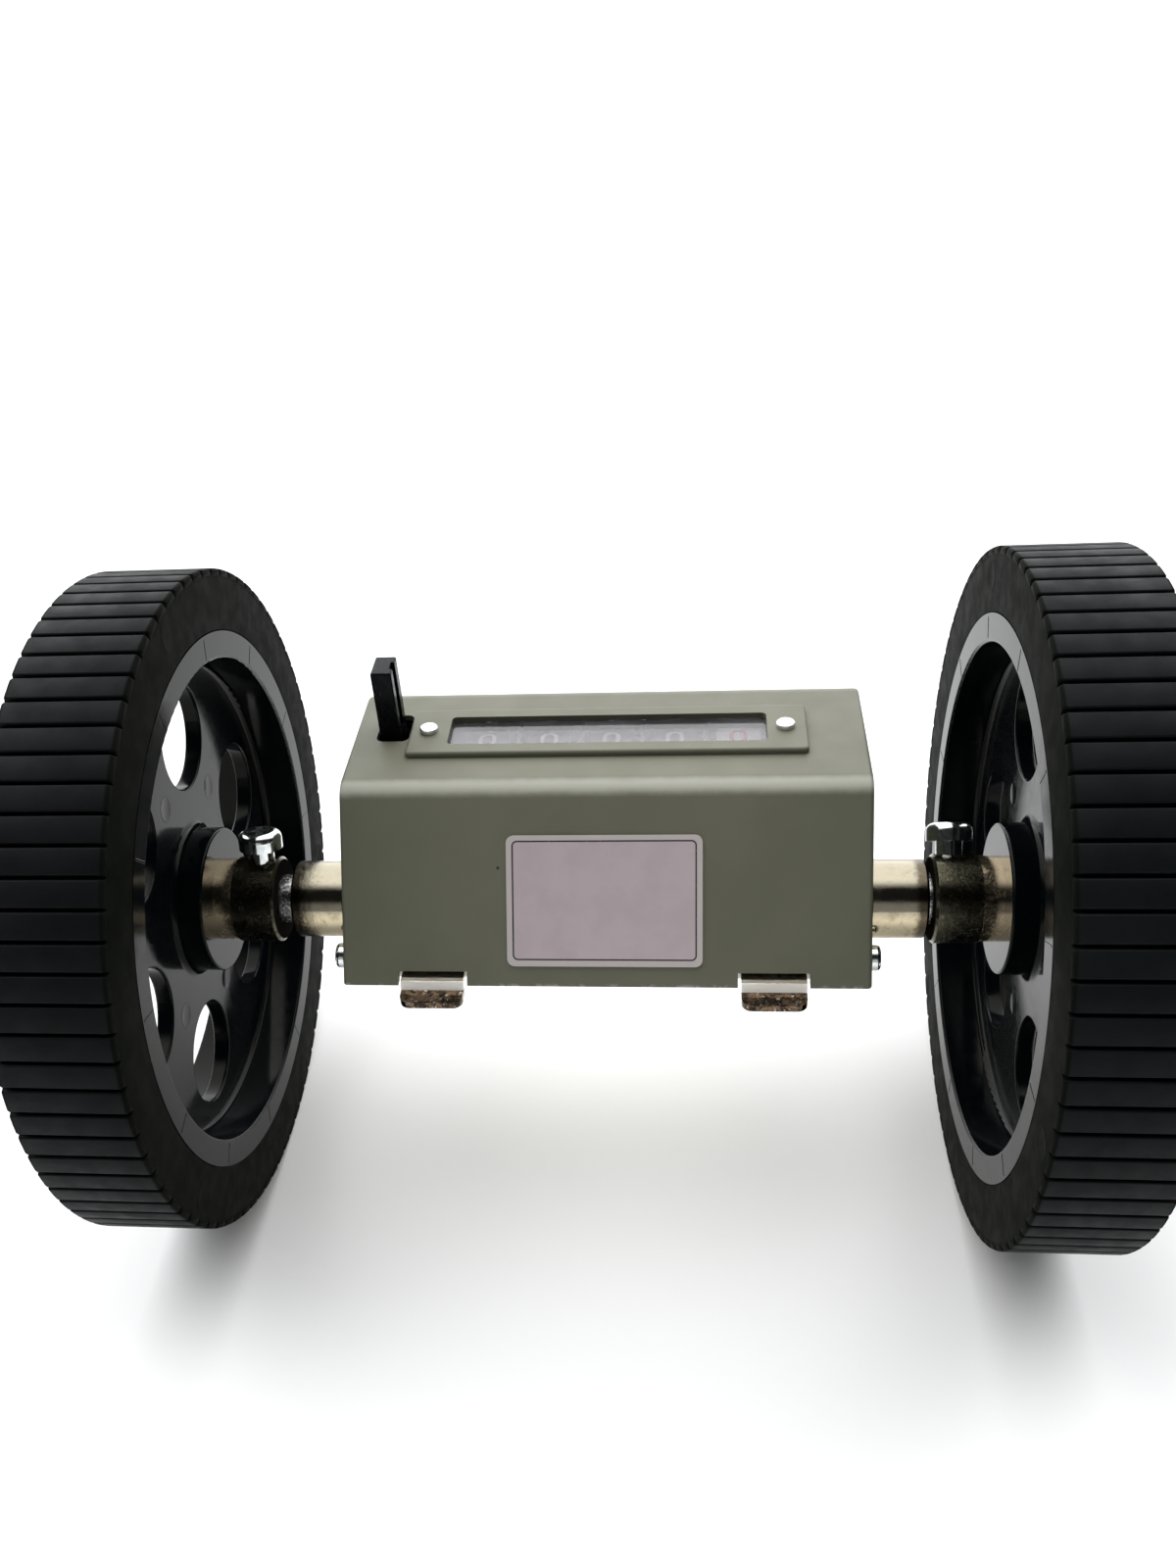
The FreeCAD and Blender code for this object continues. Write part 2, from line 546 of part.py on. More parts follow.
def makeAxle():
    stepLeft = "dim.plateLeft + dim.plateThick + 1.4"
    stepRight = "dim.plateRight - dim.plateThick - 1.4"
    seat = "dim.axleRadius - 0.7"
    outline = [
        ("-dim.axleEnd", "0"), ("-dim.axleEnd", "dim.axleRadius - 0.6"), ("-dim.axleEnd + 0.6", "dim.axleRadius"),
        (f"{stepLeft} - 1.1", "dim.axleRadius"), (f"{stepLeft} - 1.1", seat), (f"{stepLeft} - 0.4", seat),
        (f"{stepLeft} - 0.4", "dim.axleRadius"), (stepLeft, "dim.axleRadius"), (stepLeft, "dim.axleWaist"),
        (stepRight, "dim.axleWaist"), (stepRight, "dim.axleRadius"), (f"{stepRight} + 0.4", "dim.axleRadius"),
        (f"{stepRight} + 0.4", seat), (f"{stepRight} + 1.1", seat), (f"{stepRight} + 1.1", "dim.axleRadius"),
        ("dim.axleEnd - 0.6", "dim.axleRadius"), ("dim.axleEnd", "dim.axleRadius - 0.6"), ("dim.axleEnd", "0")]
    return keep(turned("axle", outline), "main_shaft")


def makeClips():
    """Retaining rings in the axle's two grooves, inside the bushings."""
    rings = []
    inside, outside = "dim.axleRadius - 0.68", "dim.axleRadius + 0.9"
    for start in ("dim.plateLeft + dim.plateThick + 0.35", "dim.plateRight - dim.plateThick - 0.95"):
        ring = turned("clip", tube(start, f"{start} + 0.6", outside, inside))
        mouth = newSketch(ring, "YZ_Plane", f"{start} + 1")
        rectangle(mouth, "-1.6", "1.6", "1", "dim.axleRadius + 2")
        cut(ring, mouth, "2")
        rings.append(ring)
    return group("shaft_clips", rings)


def makeHub(side, turn, mirror):
    bore, collarEnd = "dim.axleRadius + 0.02", "dim.collarLength"
    neckEnd = "dim.wheelInner + dim.bossInset - dim.hubStart"
    lipStart = "dim.wheelInner + dim.wheelWidth - dim.bossInset - dim.hubStart"
    body = turned(f"{side}Hub", [
        ("0", bore), ("0", "dim.collarRadius - 0.45"), ("0.4", "dim.collarRadius"),
        (collarEnd, "dim.collarRadius"), (collarEnd, "dim.neckRadius"), (neckEnd, "dim.neckRadius"),
        (neckEnd, "dim.spigotRadius"), (lipStart, "dim.spigotRadius"),
        (lipStart, "dim.lipRadius"), (f"{lipStart} + dim.lipThick", "dim.lipRadius"),
        (f"{lipStart} + dim.lipThick", bore)])
    hole = newSketch(body, "XY_Plane", "dim.collarRadius + 1")
    circle(hole, "dim.clampScrewAt", "0", "dim.clampScrewRadius + 0.03")
    cut(body, hole, "dim.collarRadius + 1")
    place(body, ("-dim.hubStart" if mirror else "dim.hubStart", "0", "0"),
          turnAboutX(size(turn)).multiply(halfTurn) if mirror else turnAboutX(size(turn)))
    return keep(body, f"{side}_hub_sleeve")


def makeClampScrew(side, turn, sign):
    body = panScrew(f"{side}ClampScrew", "dim.clampHeadRadius", "dim.clampHeadHigh", "dim.clampScrewRadius",
                    "dim.axleRadius + 0.05 - dim.clampHeadBase", True)
    angle = math.radians(90 + size(turn))
    seat = size("clampHeadBase")
    outward = FreeCAD.Rotation(alongX, FreeCAD.Vector(0, math.cos(angle), math.sin(angle)))
    place(body, (f"{sign}(dim.hubStart + dim.clampScrewAt)", str(seat * math.cos(angle)),
                 str(seat * math.sin(angle))), outward)
    return keep(body, f"{side}_clamp_screw")


def soften(body):
    """Moulded corners: a larger round at the foot of the wells, a small one on every open edge."""
    foot = size("rimInside"), size("bossRadius")
    web = (size("wheelWidth") - size("webThick")) / 2, (size("wheelWidth") + size("webThick")) / 2

    def isRing(edge, radii, places):
        return (edge.Curve.TypeId == "Part::GeomCircle" and min(abs(edge.Curve.Radius - r) for r in radii) < 0.01
                and min(abs(edge.Curve.Center.x - x) for x in places) < 0.01)

    roundEdges(body, "dim.wheelFootRound", lambda e: isRing(e, foot, web))
    roundEdges(body, "dim.wheelEdgeRound", lambda e: isRing(e, [size("webHoleRadius")], web))
    faces = (0, size("wheelWidth"), size("bossInset"), size("wheelWidth") - size("bossInset"))
    roundEdges(body, "dim.wheelEdgeRound", lambda e: isRing(e, foot, faces))


def makeWheel(side, turn, mirror):
    bore = "dim.spigotRadius + 0.02"
    webStart, webEnd = "(dim.wheelWidth - dim.webThick) / 2", "(dim.wheelWidth + dim.webThick) / 2"
    bossEnd = "dim.wheelWidth - dim.bossInset"
    body = turned(f"{side}Wheel", [
        ("dim.bossInset", bore), ("dim.bossInset", "dim.bossRadius"), (webStart, "dim.bossRadius"),
        (webStart, "dim.rimInside"), ("0", "dim.rimInside"), ("0", "dim.rimRadius"),
        ("dim.wheelWidth", "dim.rimRadius"), ("dim.wheelWidth", "dim.rimInside"), (webEnd, "dim.rimInside"),
        (webEnd, "dim.bossRadius"), (bossEnd, "dim.bossRadius"), (bossEnd, bore)])
    hole = newSketch(body, "YZ_Plane", f"{webEnd} + 1")
    circle(hole, "0", "dim.webHoleCircle", "dim.webHoleRadius")
    first = cut(body, hole, "dim.webThick + 2")
    pattern = body.newObject("PartDesign::PolarPattern", "WebHoles")
    pattern.Originals = [first]
    pattern.Axis = (hole, ["N_Axis"])
    pattern.Angle = 360
    pattern.Occurrences = int(size("webHoles"))
    body.Tip = pattern
    doc.recompute()
    soften(body)
    place(body, ("-dim.wheelInner" if mirror else "dim.wheelInner", "0", "0"),
          turnAboutX(size(turn)).multiply(halfTurn) if mirror else turnAboutX(size(turn)))
    return keep(body, f"{side}_wheel_body")


def makeTyre(side, mirror):
    """A rubber ring with straight cross ribs: each rib an arc at full radius, each groove an arc below it."""
    body = newBody(f"{side}Tyre")
    sketch = newSketch(body, "YZ_Plane")
    radius, floor = size("tyreRadius"), size("tyreRadius") - size("grooveDepth")
    pitch = 2 * math.pi / size("ribCount")
    half = pitch * size("ribShare") / 2

    def at(r, angle):
        return FreeCAD.Vector(r * math.cos(angle), r * math.sin(angle), 0)

    for rib in range(int(size("ribCount"))):
        middle = rib * pitch
        nextRib = middle + pitch - half
        sketch.addGeometry(Part.Arc(at(radius, middle - half), at(radius, middle), at(radius, middle + half)), False)
        sketch.addGeometry(Part.LineSegment(at(radius, middle + half), at(floor, middle + half)), False)
        sketch.addGeometry(Part.Arc(at(floor, middle + half), at(floor, middle + pitch / 2), at(floor, nextRib)), False)
        sketch.addGeometry(Part.LineSegment(at(floor, nextRib), at(radius, nextRib)), False)
    circle(sketch, "0", "0", "dim.rimRadius + 0.02")
    pad(body, sketch, "dim.wheelWidth")
    place(body, ("-dim.wheelInner" if mirror else "dim.wheelInner", "0", "0"),
          halfTurn if mirror else FreeCAD.Rotation())
    return keep(body, f"{side}_tyre")


# ---- register: gears, number wheels, carry and reset ----

toIdler = math.degrees(math.atan2(idlerZ, idlerY))
toNumber = math.degrees(math.atan2(size("numberZ") - idlerZ, size("numberY") - idlerY))
meshGap = 180.0


def makeDrivePinion():
    body = newBody("drivePinion")
    toothedPad(body, "dim.driveGearX - 0.2", "dim.driveGearWide + 0.4", "dim.axleWaist + 0.02",
               teeth=size("driveTeeth"), module=size("driveModule"), phase=toIdler)
    return keep(body, "drive_pinion")


def makeIdler():
    """Two gears moulded as one: the larger meets the drive pinion, the smaller the register gear."""
    body = newBody("idler")
    bore = "dim.idlerStud + dim.running"
    teethIn = size("idlerTeethIn")
    toothedPad(body, "dim.driveGearX", "dim.driveGearWide", bore, teeth=teethIn, module=size("driveModule"),
               phase=toIdler + meshGap + meshGap / teethIn)
    hub = newSketch(body, "YZ_Plane", "dim.driveGearX - 0.4")
    circle(hub, "0", "0", "2.6")
    circle(hub, "0", "0", bore)
    pad(body, hub, "0.4")
    toothedPad(body, "dim.driveGearX - 3.1", "dim.driveGearWide + 0.3", bore, teeth=size("idlerTeethOut"),
               module=size("driveModule"), phase=toNumber)
    place(body, ("0", str(idlerY), str(idlerZ)))
    return keep(body, "idler_gear")


def makeNumberWheel(index):
    """Digit drum with its hub: carry disc on the left, gear and reset cam on the right."""
    bore = "dim.numberShaft + dim.running"
    wide = "dim.drumWide"
    first = index == 1
    flange = "4.2" if first else "3"
    rightEnd = f"{wide} + 2"
    body = turned(f"number{index}", [
        ("-1", bore), ("-1", "6.2"), ("-0.2", "6.2"), ("-0.2", "3"), ("3", "3"), ("3", "dim.drumRadius - 1.2"),
        ("0", "dim.drumRadius - 1.2"), ("0", "dim.drumRadius"), (wide, "dim.drumRadius"), (wide, flange),
        (rightEnd, flange), (rightEnd, bore)])
    carry = newSketch(body, "YZ_Plane", "-1")
    for turn in (0, 1):
        angle = turn * 28
        corners = [(6.0, -0.7), (6.95, -0.45), (6.95, 0.45), (6.0, 0.7)]
        cosine, sine = math.cos(math.radians(angle)), math.sin(math.radians(angle))
        polygon(carry, [(a * cosine - b * sine, a * sine + b * cosine) for a, b in corners])
    pad(body, carry, "0.8")
    if first:
        toothedPad(body, f"{rightEnd} + 0.2", "dim.driveGearWide", bore, teeth=size("registerTeeth"),
                   module=size("driveModule"), phase=toNumber + meshGap + meshGap / size("registerTeeth"))
        collar = newSketch(body, "YZ_Plane", rightEnd)
        circle(collar, "0", "0", "3")
        circle(collar, "0", "0", bore)
        pad(body, collar, "0.2")
    else:
        toothedPad(body, wide, "0.9", bore, teeth=size("carryTeeth"), module=size("carryModule"),
                   phase=size("pinionAngle"), addendum=0.6, dedendum=1.0, thickness=0.40)
        cam = newSketch(body, "YZ_Plane", f"{wide} + 0.9")
        circle(cam, "0.5", "0", "3.7")
        circle(cam, "0", "0", bore)
        pad(body, cam, "1.1")
    place(body, (f"dim.firstDrum - {index - 1} * dim.wheelPitch", "dim.numberY", "dim.numberZ"))
    return keep(body, f"number_wheel_{index}")


def makeTransferPinion(index):
    """Meets the gear of number wheel index + 1, in the gap beside number wheel index."""
    body = newBody(f"transfer{index}")
    teeth = size("carryPinionTeeth")
    toothedPad(body, "0", "2.9", "dim.pinionShaft + dim.running", teeth=teeth, module=size("carryModule"),
               phase=size("pinionAngle") + meshGap + meshGap / teeth, addendum=0.9, dedendum=1.1, thickness=0.36)
    place(body, (f"dim.firstDrum - {index} * dim.wheelPitch + dim.drumWide + 0.15", pinionY(), pinionZ()))
    return keep(body, f"transfer_pinion_{index}")


def makeResetFingers():
    """Five fingers on one sleeve, one over each number wheel's cam."""
    start = "dim.firstDrum - 4 * dim.wheelPitch + dim.drumWide - 1.5"
    end = "dim.firstDrum + dim.drumWide + 3.5"
    body = turned("fingers", tube(start, end, "2.4", "dim.resetShaft + 0.02"))
    angle = math.radians(size("fingerRest"))
    cosine, sine = math.cos(angle), math.sin(angle)
    reach = size("fingerReach")
    corners = [(1.9, -0.8), (reach, -0.8), (reach, 0.2), (reach - 1, 0.8), (1.9, 0.8)]
    for index in range(5):
        finger = newSketch(
            body, "YZ_Plane",
            f"dim.firstDrum - {index} * dim.wheelPitch + dim.drumWide + 1.45 - dim.fingerWide / 2")
        polygon(finger, [(a * cosine + b * sine, a * sine - b * cosine) for a, b in corners])
        pad(body, finger, "dim.fingerWide")
    place(body, ("0", "dim.resetY", "dim.resetZ"))
    return keep(body, "reset_fingers")


def makeResetLever():
    """An upright blade through the slot, on an arm from its hub on the reset shaft."""
    front, back = "dim.leverFront", "dim.leverFront + dim.leverDeep"
    crown = "dim.coverTop + dim.leverHigh"
    left = "dim.leverX - dim.leverWide / 2"
    body = prism("lever", left, "dim.leverWide", [
        (front, "13.2"), ("dim.resetY", "13.2"), ("dim.resetY", "16.6"), (back, "16.9"), (back, crown),
        (front, crown)])
    frontEdge = size("leverFront")
    top = size("coverTop") + size("leverHigh")
    roundEdges(body, "0.35", lambda e: isAlong(e, alongX) and abs(e.Vertexes[0].Z - top) < 0.01)
    roundEdges(body, "0.3", lambda e: isAlong(e, alongZ) and abs(e.Vertexes[0].Y - frontEdge) < 0.01)
    hub = newSketch(body, "YZ_Plane", left)
    circle(hub, "dim.resetY", "dim.resetZ", "2.6")
    pad(body, hub, "dim.leverWide")
    bore = newSketch(body, "YZ_Plane", f"{left} + dim.leverWide + 1")
    circle(bore, "dim.resetY", "dim.resetZ", "dim.resetShaft + 0.02")
    cut(body, bore, "dim.leverWide + 2")
    groove = newSketch(body, "YZ_Plane", f"{left} + dim.leverWide + 1")
    rectangle(groove, f"{front} + 1.5", f"{back} - 1.9", "dim.coverTop + 0.8", f"{crown} + 1")
    cut(body, groove, "1.6")
    return keep(body, "reset_lever")


def makeResetSpring():
    """A close-wound torsion spring around the reset shaft, with a straight leg at each end."""
    body = newBody("spring")
    sketch = newSketch(body, "XZ_Plane")
    turns, wire, middle, inside = 8, size("springWire"), size("springMiddle"), size("springMiddle") - 0.25

    def at(x, r):
        return FreeCAD.Vector(x, r, 0)

    for turn in range(turns):
        start = turn * wire
        sketch.addGeometry(Part.Arc(at(start, middle), at(start + wire / 2, middle + wire / 2),
                                    at(start + wire, middle)), False)
    end = turns * wire
    sketch.addGeometry(Part.LineSegment(at(end, middle), at(end, inside)), False)
    sketch.addGeometry(Part.LineSegment(at(end, inside), at(0, inside)), False)
    sketch.addGeometry(Part.LineSegment(at(0, inside), at(0, middle)), False)
    coil = body.newObject("PartDesign::Revolution", "Coil")
    coil.Profile = sketch
    coil.ReferenceAxis = (sketch, ["H_Axis"])
    coil.Angle = 360
    doc.recompute()
    for x, height in (("dim.springWire / 2", "dim.springMiddle"), (f"{turns - 0.5} * dim.springWire",
                                                                  "-dim.springMiddle")):
        leg = newSketch(body, "XZ_Plane")
        circle(leg, x, height, "dim.springWire / 2 - 0.02")
        pad(body, leg, "dim.springLeg")
    place(body, ("dim.leverX + dim.leverWide / 2 + 1.2", "dim.resetY", "dim.resetZ"))
    return keep(body, "reset_spring")


def build():
    makeCover()
    makeBasePlate()
    makeFramePlate("left_frame_plate", "dim.plateLeft", False)
    makeFramePlate("right_frame_plate", "dim.plateRight - dim.plateThick", True)
    makeStay()
    makeBushing("left_bushing", "dim.tubeEndLeft", "dim.coverLeft", "dim.plateLeft + dim.plateThick", -1)
    makeBushing("right_bushing", "dim.tubeEndRight", "dim.coverRight", "dim.plateRight - dim.plateThick", 1)
    makeRod("number_shaft", "dim.plateLeft", "dim.plateRight", "dim.numberShaft", "dim.numberY", "dim.numberZ")
    makeRod("pinion_shaft", "dim.plateLeft", "dim.plateRight", "dim.pinionShaft", pinionY(), pinionZ())
    makeRod("idler_stud", "dim.driveGearX - 3.9", "dim.plateRight", "dim.idlerStud", str(idlerY), str(idlerZ))
    makeBezel()
    makeLens()
    makeRivets()
    makeLabel()
    makeCoverScrews()
    makeAxle()
    makeClips()
    for side, turn, wheelTurn, mirror, sign in (("left", "screwTurnLeft", "wheelTurnLeft", True, "-"),
                                                ("right", "screwTurnRight", "wheelTurnRight", False, "")):
        makeHub(side, turn, mirror)
        makeClampScrew(side, turn, sign)
        makeWheel(side, wheelTurn, mirror)
        makeTyre(side, mirror)
    makeDrivePinion()
    makeIdler()
    for index in range(1, 6):
        makeNumberWheel(index)
    for index in range(1, 5):
        makeTransferPinion(index)
    makeRod("reset_shaft", "dim.plateLeft", "dim.plateRight", "dim.resetShaft", "dim.resetY", "dim.resetZ")
    makeResetFingers()
    makeResetLever()
    makeResetSpring()


def check():
    for thing in doc.Objects:
        if "Invalid" in thing.State or "Error" in thing.State:
            raise RuntimeError(f"{thing.Name} ({thing.Label}) is {thing.State}")
    for piece in pieces:
        if piece.Shape.isNull() or not piece.Shape.isValid() or not piece.Shape.Solids:
            raise RuntimeError(f"{piece.Label} has no valid shape")


build()
doc.recompute()
check()
os.makedirs("parts", exist_ok=True)
for piece in pieces:
    piece.Shape.exportStep(f"parts/{piece.Label}.step")
print(len(pieces), "parts,", sum(len(p.Shape.Solids) for p in pieces), "solids")
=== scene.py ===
import bpy
import bmesh
import math
from mathutils import Matrix, Vector


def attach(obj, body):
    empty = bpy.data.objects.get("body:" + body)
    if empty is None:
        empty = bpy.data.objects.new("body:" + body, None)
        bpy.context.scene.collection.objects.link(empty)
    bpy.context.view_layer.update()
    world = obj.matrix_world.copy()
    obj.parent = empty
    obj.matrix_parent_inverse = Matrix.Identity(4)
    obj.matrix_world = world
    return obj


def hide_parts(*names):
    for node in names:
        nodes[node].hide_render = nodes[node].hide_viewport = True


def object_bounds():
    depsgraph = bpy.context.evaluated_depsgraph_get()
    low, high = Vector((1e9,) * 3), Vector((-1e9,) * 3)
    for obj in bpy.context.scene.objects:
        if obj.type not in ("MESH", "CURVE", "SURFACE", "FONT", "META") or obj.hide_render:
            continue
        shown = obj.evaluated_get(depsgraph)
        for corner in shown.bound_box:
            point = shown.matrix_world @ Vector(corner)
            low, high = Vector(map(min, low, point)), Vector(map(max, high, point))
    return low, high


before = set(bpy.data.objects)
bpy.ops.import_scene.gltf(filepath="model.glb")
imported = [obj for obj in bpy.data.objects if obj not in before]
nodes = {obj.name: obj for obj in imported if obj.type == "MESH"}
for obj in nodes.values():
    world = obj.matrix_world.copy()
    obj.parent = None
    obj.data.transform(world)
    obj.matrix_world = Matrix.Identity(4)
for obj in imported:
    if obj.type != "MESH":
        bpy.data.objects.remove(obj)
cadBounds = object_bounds()
scene = bpy.context.scene
scene.view_settings.view_transform = "Standard"
mm = 0.001
print("counter: frame loaded,", len(nodes), "nodes")


# camera, floor and light
view = {
    "place": (14.87 * mm, -167.7 * mm, 140.2 * mm),
    "right": (0.9933, 0.0886, -0.0740),
    "up": (0.0, 0.6410, 0.7675),
    "lens": 31.42,
    "shift": (0.0351, 0.0726),
}


def makeCamera():
    data = bpy.data.cameras.new("studioCamera")
    data.sensor_fit = "VERTICAL"
    data.sensor_height = 36.0
    data.lens = view["lens"]
    data.shift_x, data.shift_y = view["shift"]
    data.clip_start = 0.01
    data.clip_end = 60.0
    right = Vector(view["right"]).normalized()
    back = right.cross(Vector(view["up"])).normalized()
    up = back.cross(right)
    turn = Matrix((right, up, back)).transposed().to_4x4()
    camera = bpy.data.objects.new("studioCamera", data)
    camera.matrix_world = Matrix.Translation(view["place"]) @ turn
    scene.collection.objects.link(camera)
    scene.camera = camera


studio = {
    "skyBright": 3.1,       # the wide soft light behind and above
    "skyDirection": (-0.20, 0.785, 0.587),
    "wallBright": 0.55,     # a pale wall, low on the viewer's side
    "wallDirection": (0.0, -0.995, 0.10),
    "skyFront": 0.025,      # what is left everywhere else
    "backdrop": 1.0,
    "floorTone": (0.97, 0.97, 0.965),
    "floorReach": 12.0,
}


def makeStudio():
    world = bpy.data.worlds.new("softStudio")
    scene.world = world
    world.use_nodes = True
    tree = world.node_tree
    background = tree.nodes["Background"]
    where = tree.nodes.new("ShaderNodeTexCoord")

    def fade(direction, low, high, bright):
        facing = tree.nodes.new("ShaderNodeVectorMath")
        facing.operation = "DOT_PRODUCT"
        facing.inputs[1].default_value = direction
        tree.links.new(where.outputs["Generated"], facing.inputs[0])
        ramp = tree.nodes.new("ShaderNodeMapRange")
        ramp.interpolation_type = "SMOOTHSTEP"
        ramp.inputs["From Min"].default_value = low
        ramp.inputs["From Max"].default_value = high
        ramp.inputs["To Max"].default_value = bright
        tree.links.new(facing.outputs["Value"], ramp.inputs["Value"])
        return ramp.outputs["Result"]

    behind = fade(studio["skyDirection"], 0.20, 0.66, studio["skyBright"])
    ahead = fade(studio["wallDirection"], 0.86, 0.97, studio["wallBright"])
    both = tree.nodes.new("ShaderNodeMath")
    both.operation = "ADD"
    tree.links.new(behind, both.inputs[0])
    tree.links.new(ahead, both.inputs[1])
    total = tree.nodes.new("ShaderNodeMath")
    total.operation = "ADD"
    total.inputs[1].default_value = studio["skyFront"]
    tree.links.new(both.outputs["Value"], total.inputs[0])
    # the backdrop looks evenly pale, whichever side it is seen from
    seen = tree.nodes.new("ShaderNodeLightPath")
    shown = tree.nodes.new("ShaderNodeMix")
    shown.inputs["B"].default_value = studio["backdrop"]
    tree.links.new(seen.outputs["Is Camera Ray"], shown.inputs["Factor"])
    tree.links.new(total.outputs["Value"], shown.inputs["A"])
    tree.links.new(shown.outputs["Result"], background.inputs["Strength"])
    background.inputs["Color"].default_value = (0.98, 0.99, 1.0, 1)

    reach = studio["floorReach"]
    low = cadBounds[0][2] - 0.02 * mm
    mesh = bpy.data.meshes.new("studioFloor")
    mesh.from_pydata([(-reach, -reach, low), (reach, -reach, low), (reach, reach, low), (-reach, reach, low)],
                     [], [(0, 1, 2, 3)])
    floor = bpy.data.objects.new("studioFloor", mesh)
    scene.collection.objects.link(floor)
    material = bpy.data.materials.new("floorPaper")
    material.use_nodes = True
    shader = material.node_tree.nodes["Principled BSDF"]
    shader.inputs["Base Color"].default_value = (*studio["floorTone"], 1)
    shader.inputs["Roughness"].default_value = 0.9
    shader.inputs["Specular IOR Level"].default_value = 0.1
    mesh.materials.append(material)


# materials
# a material being built: short calls for the few nodes that every finish here uses
class Finish:
    def __init__(self, name):
        self.material = bpy.data.materials.new(name)
        self.material.use_nodes = True
        self.tree = self.material.node_tree
        self.shader = self.tree.nodes["Principled BSDF"]
        self.where = self.add("ShaderNodeTexCoord").outputs["Object"]

    def add(self, kind, **settings):
        node = self.tree.nodes.new(kind)
        for key, setting in settings.items():
            setattr(node, key, setting)
        return node

    def join(self, source, target):
        self.tree.links.new(source, target)
        return self

    def stretched(self, scale=(1, 1, 1), turn=(0, 0, 0), shift=(0, 0, 0)):
        node = self.add("ShaderNodeMapping")
        node.inputs["Scale"].default_value = scale
        node.inputs["Rotation"].default_value = turn
        node.inputs["Location"].default_value = shift
        self.join(self.where, node.inputs["Vector"])
        return node.outputs["Vector"]

    # noise whose lumps are about grain millimetres across
    def noise(self, grain, detail=4.0, rough=0.55, at=None):
        node = self.add("ShaderNodeTexNoise")
        node.inputs["Scale"].default_value = 1000.0 / grain
        node.inputs["Detail"].default_value = detail
        node.inputs["Roughness"].default_value = rough
        self.join(at or self.where, node.inputs["Vector"])
        return node.outputs["Fac"]

    def cells(self, grain, at=None):
        node = self.add("ShaderNodeTexVoronoi")
        node.inputs["Scale"].default_value = 1000.0 / grain
        self.join(at or self.where, node.inputs["Vector"])
        return node.outputs["Distance"]

    def span(self, source, fromLow, fromHigh, toLow=0.0, toHigh=1.0, smooth=True):
        node = self.add("ShaderNodeMapRange")
        node.interpolation_type = "SMOOTHSTEP" if smooth else "LINEAR"
        for key, number in (("From Min", fromLow), ("From Max", fromHigh), ("To Min", toLow), ("To Max", toHigh)):
            node.inputs[key].default_value = number
        self.join(source, node.inputs["Value"])
        return node.outputs["Result"]

    def math(self, operation, a, b=0.0, clamp=False):
        node = self.add("ShaderNodeMath", operation=operation, use_clamp=clamp)
        for index, item in enumerate((a, b)):
            if isinstance(item, (int, float)):
                node.inputs[index].default_value = item
            else:
                self.join(item, node.inputs[index])
        return node.outputs["Value"]

    def axis(self, letter, source=None):
        node = self.add("ShaderNodeSeparateXYZ")
        self.join(source or self.where, node.inputs[0])
        return node.outputs[letter]

    def blend(self, factor, first, second):
        node = self.add("ShaderNodeMix", data_type="RGBA")
        self.join(factor, node.inputs["Factor"])
        for key, item in (("A", first), ("B", second)):
            socket = [s for s in node.inputs if s.name == key and s.type == "RGBA"][0]
            if isinstance(item, tuple):
                socket.default_value = (*item, 1)
            else:
                self.join(item, socket)
        return [s for s in node.outputs if s.type == "RGBA"][0]

    # relief of depth millimetres from a 0 to 1 height
    def bump(self, height, depth, strength=1.0, under=None):
        node = self.add("ShaderNodeBump")
        node.inputs["Distance"].default_value = depth * mm
        node.inputs["Strength"].default_value = strength
        self.join(height, node.inputs["Height"])
        if under:
            self.join(under, node.inputs["Normal"])
        return node.outputs["Normal"]

    def finish(self, colour=None, roughness=None, normal=None, **fixed):
        for key, item in (("Base Color", colour), ("Roughness", roughness), ("Normal", normal)):
            if item is None:
                continue
            if isinstance(item, tuple):
                self.shader.inputs[key].default_value = (*item, 1)
            elif isinstance(item, float):
                self.shader.inputs[key].default_value = item
            else:
                self.join(item, self.shader.inputs[key])
        for key, item in fixed.items():
            self.shader.inputs[key.replace("_", " ")].default_value = item
        return self.material


paint = {
    "tone": (0.148, 0.149, 0.106), "shade": (0.136, 0.138, 0.097), "chip": (0.03, 0.03, 0.026),
    "rubbed": (0.30, 0.29, 0.26), "bendHighlight": (0.44, 0.44, 0.37),
}


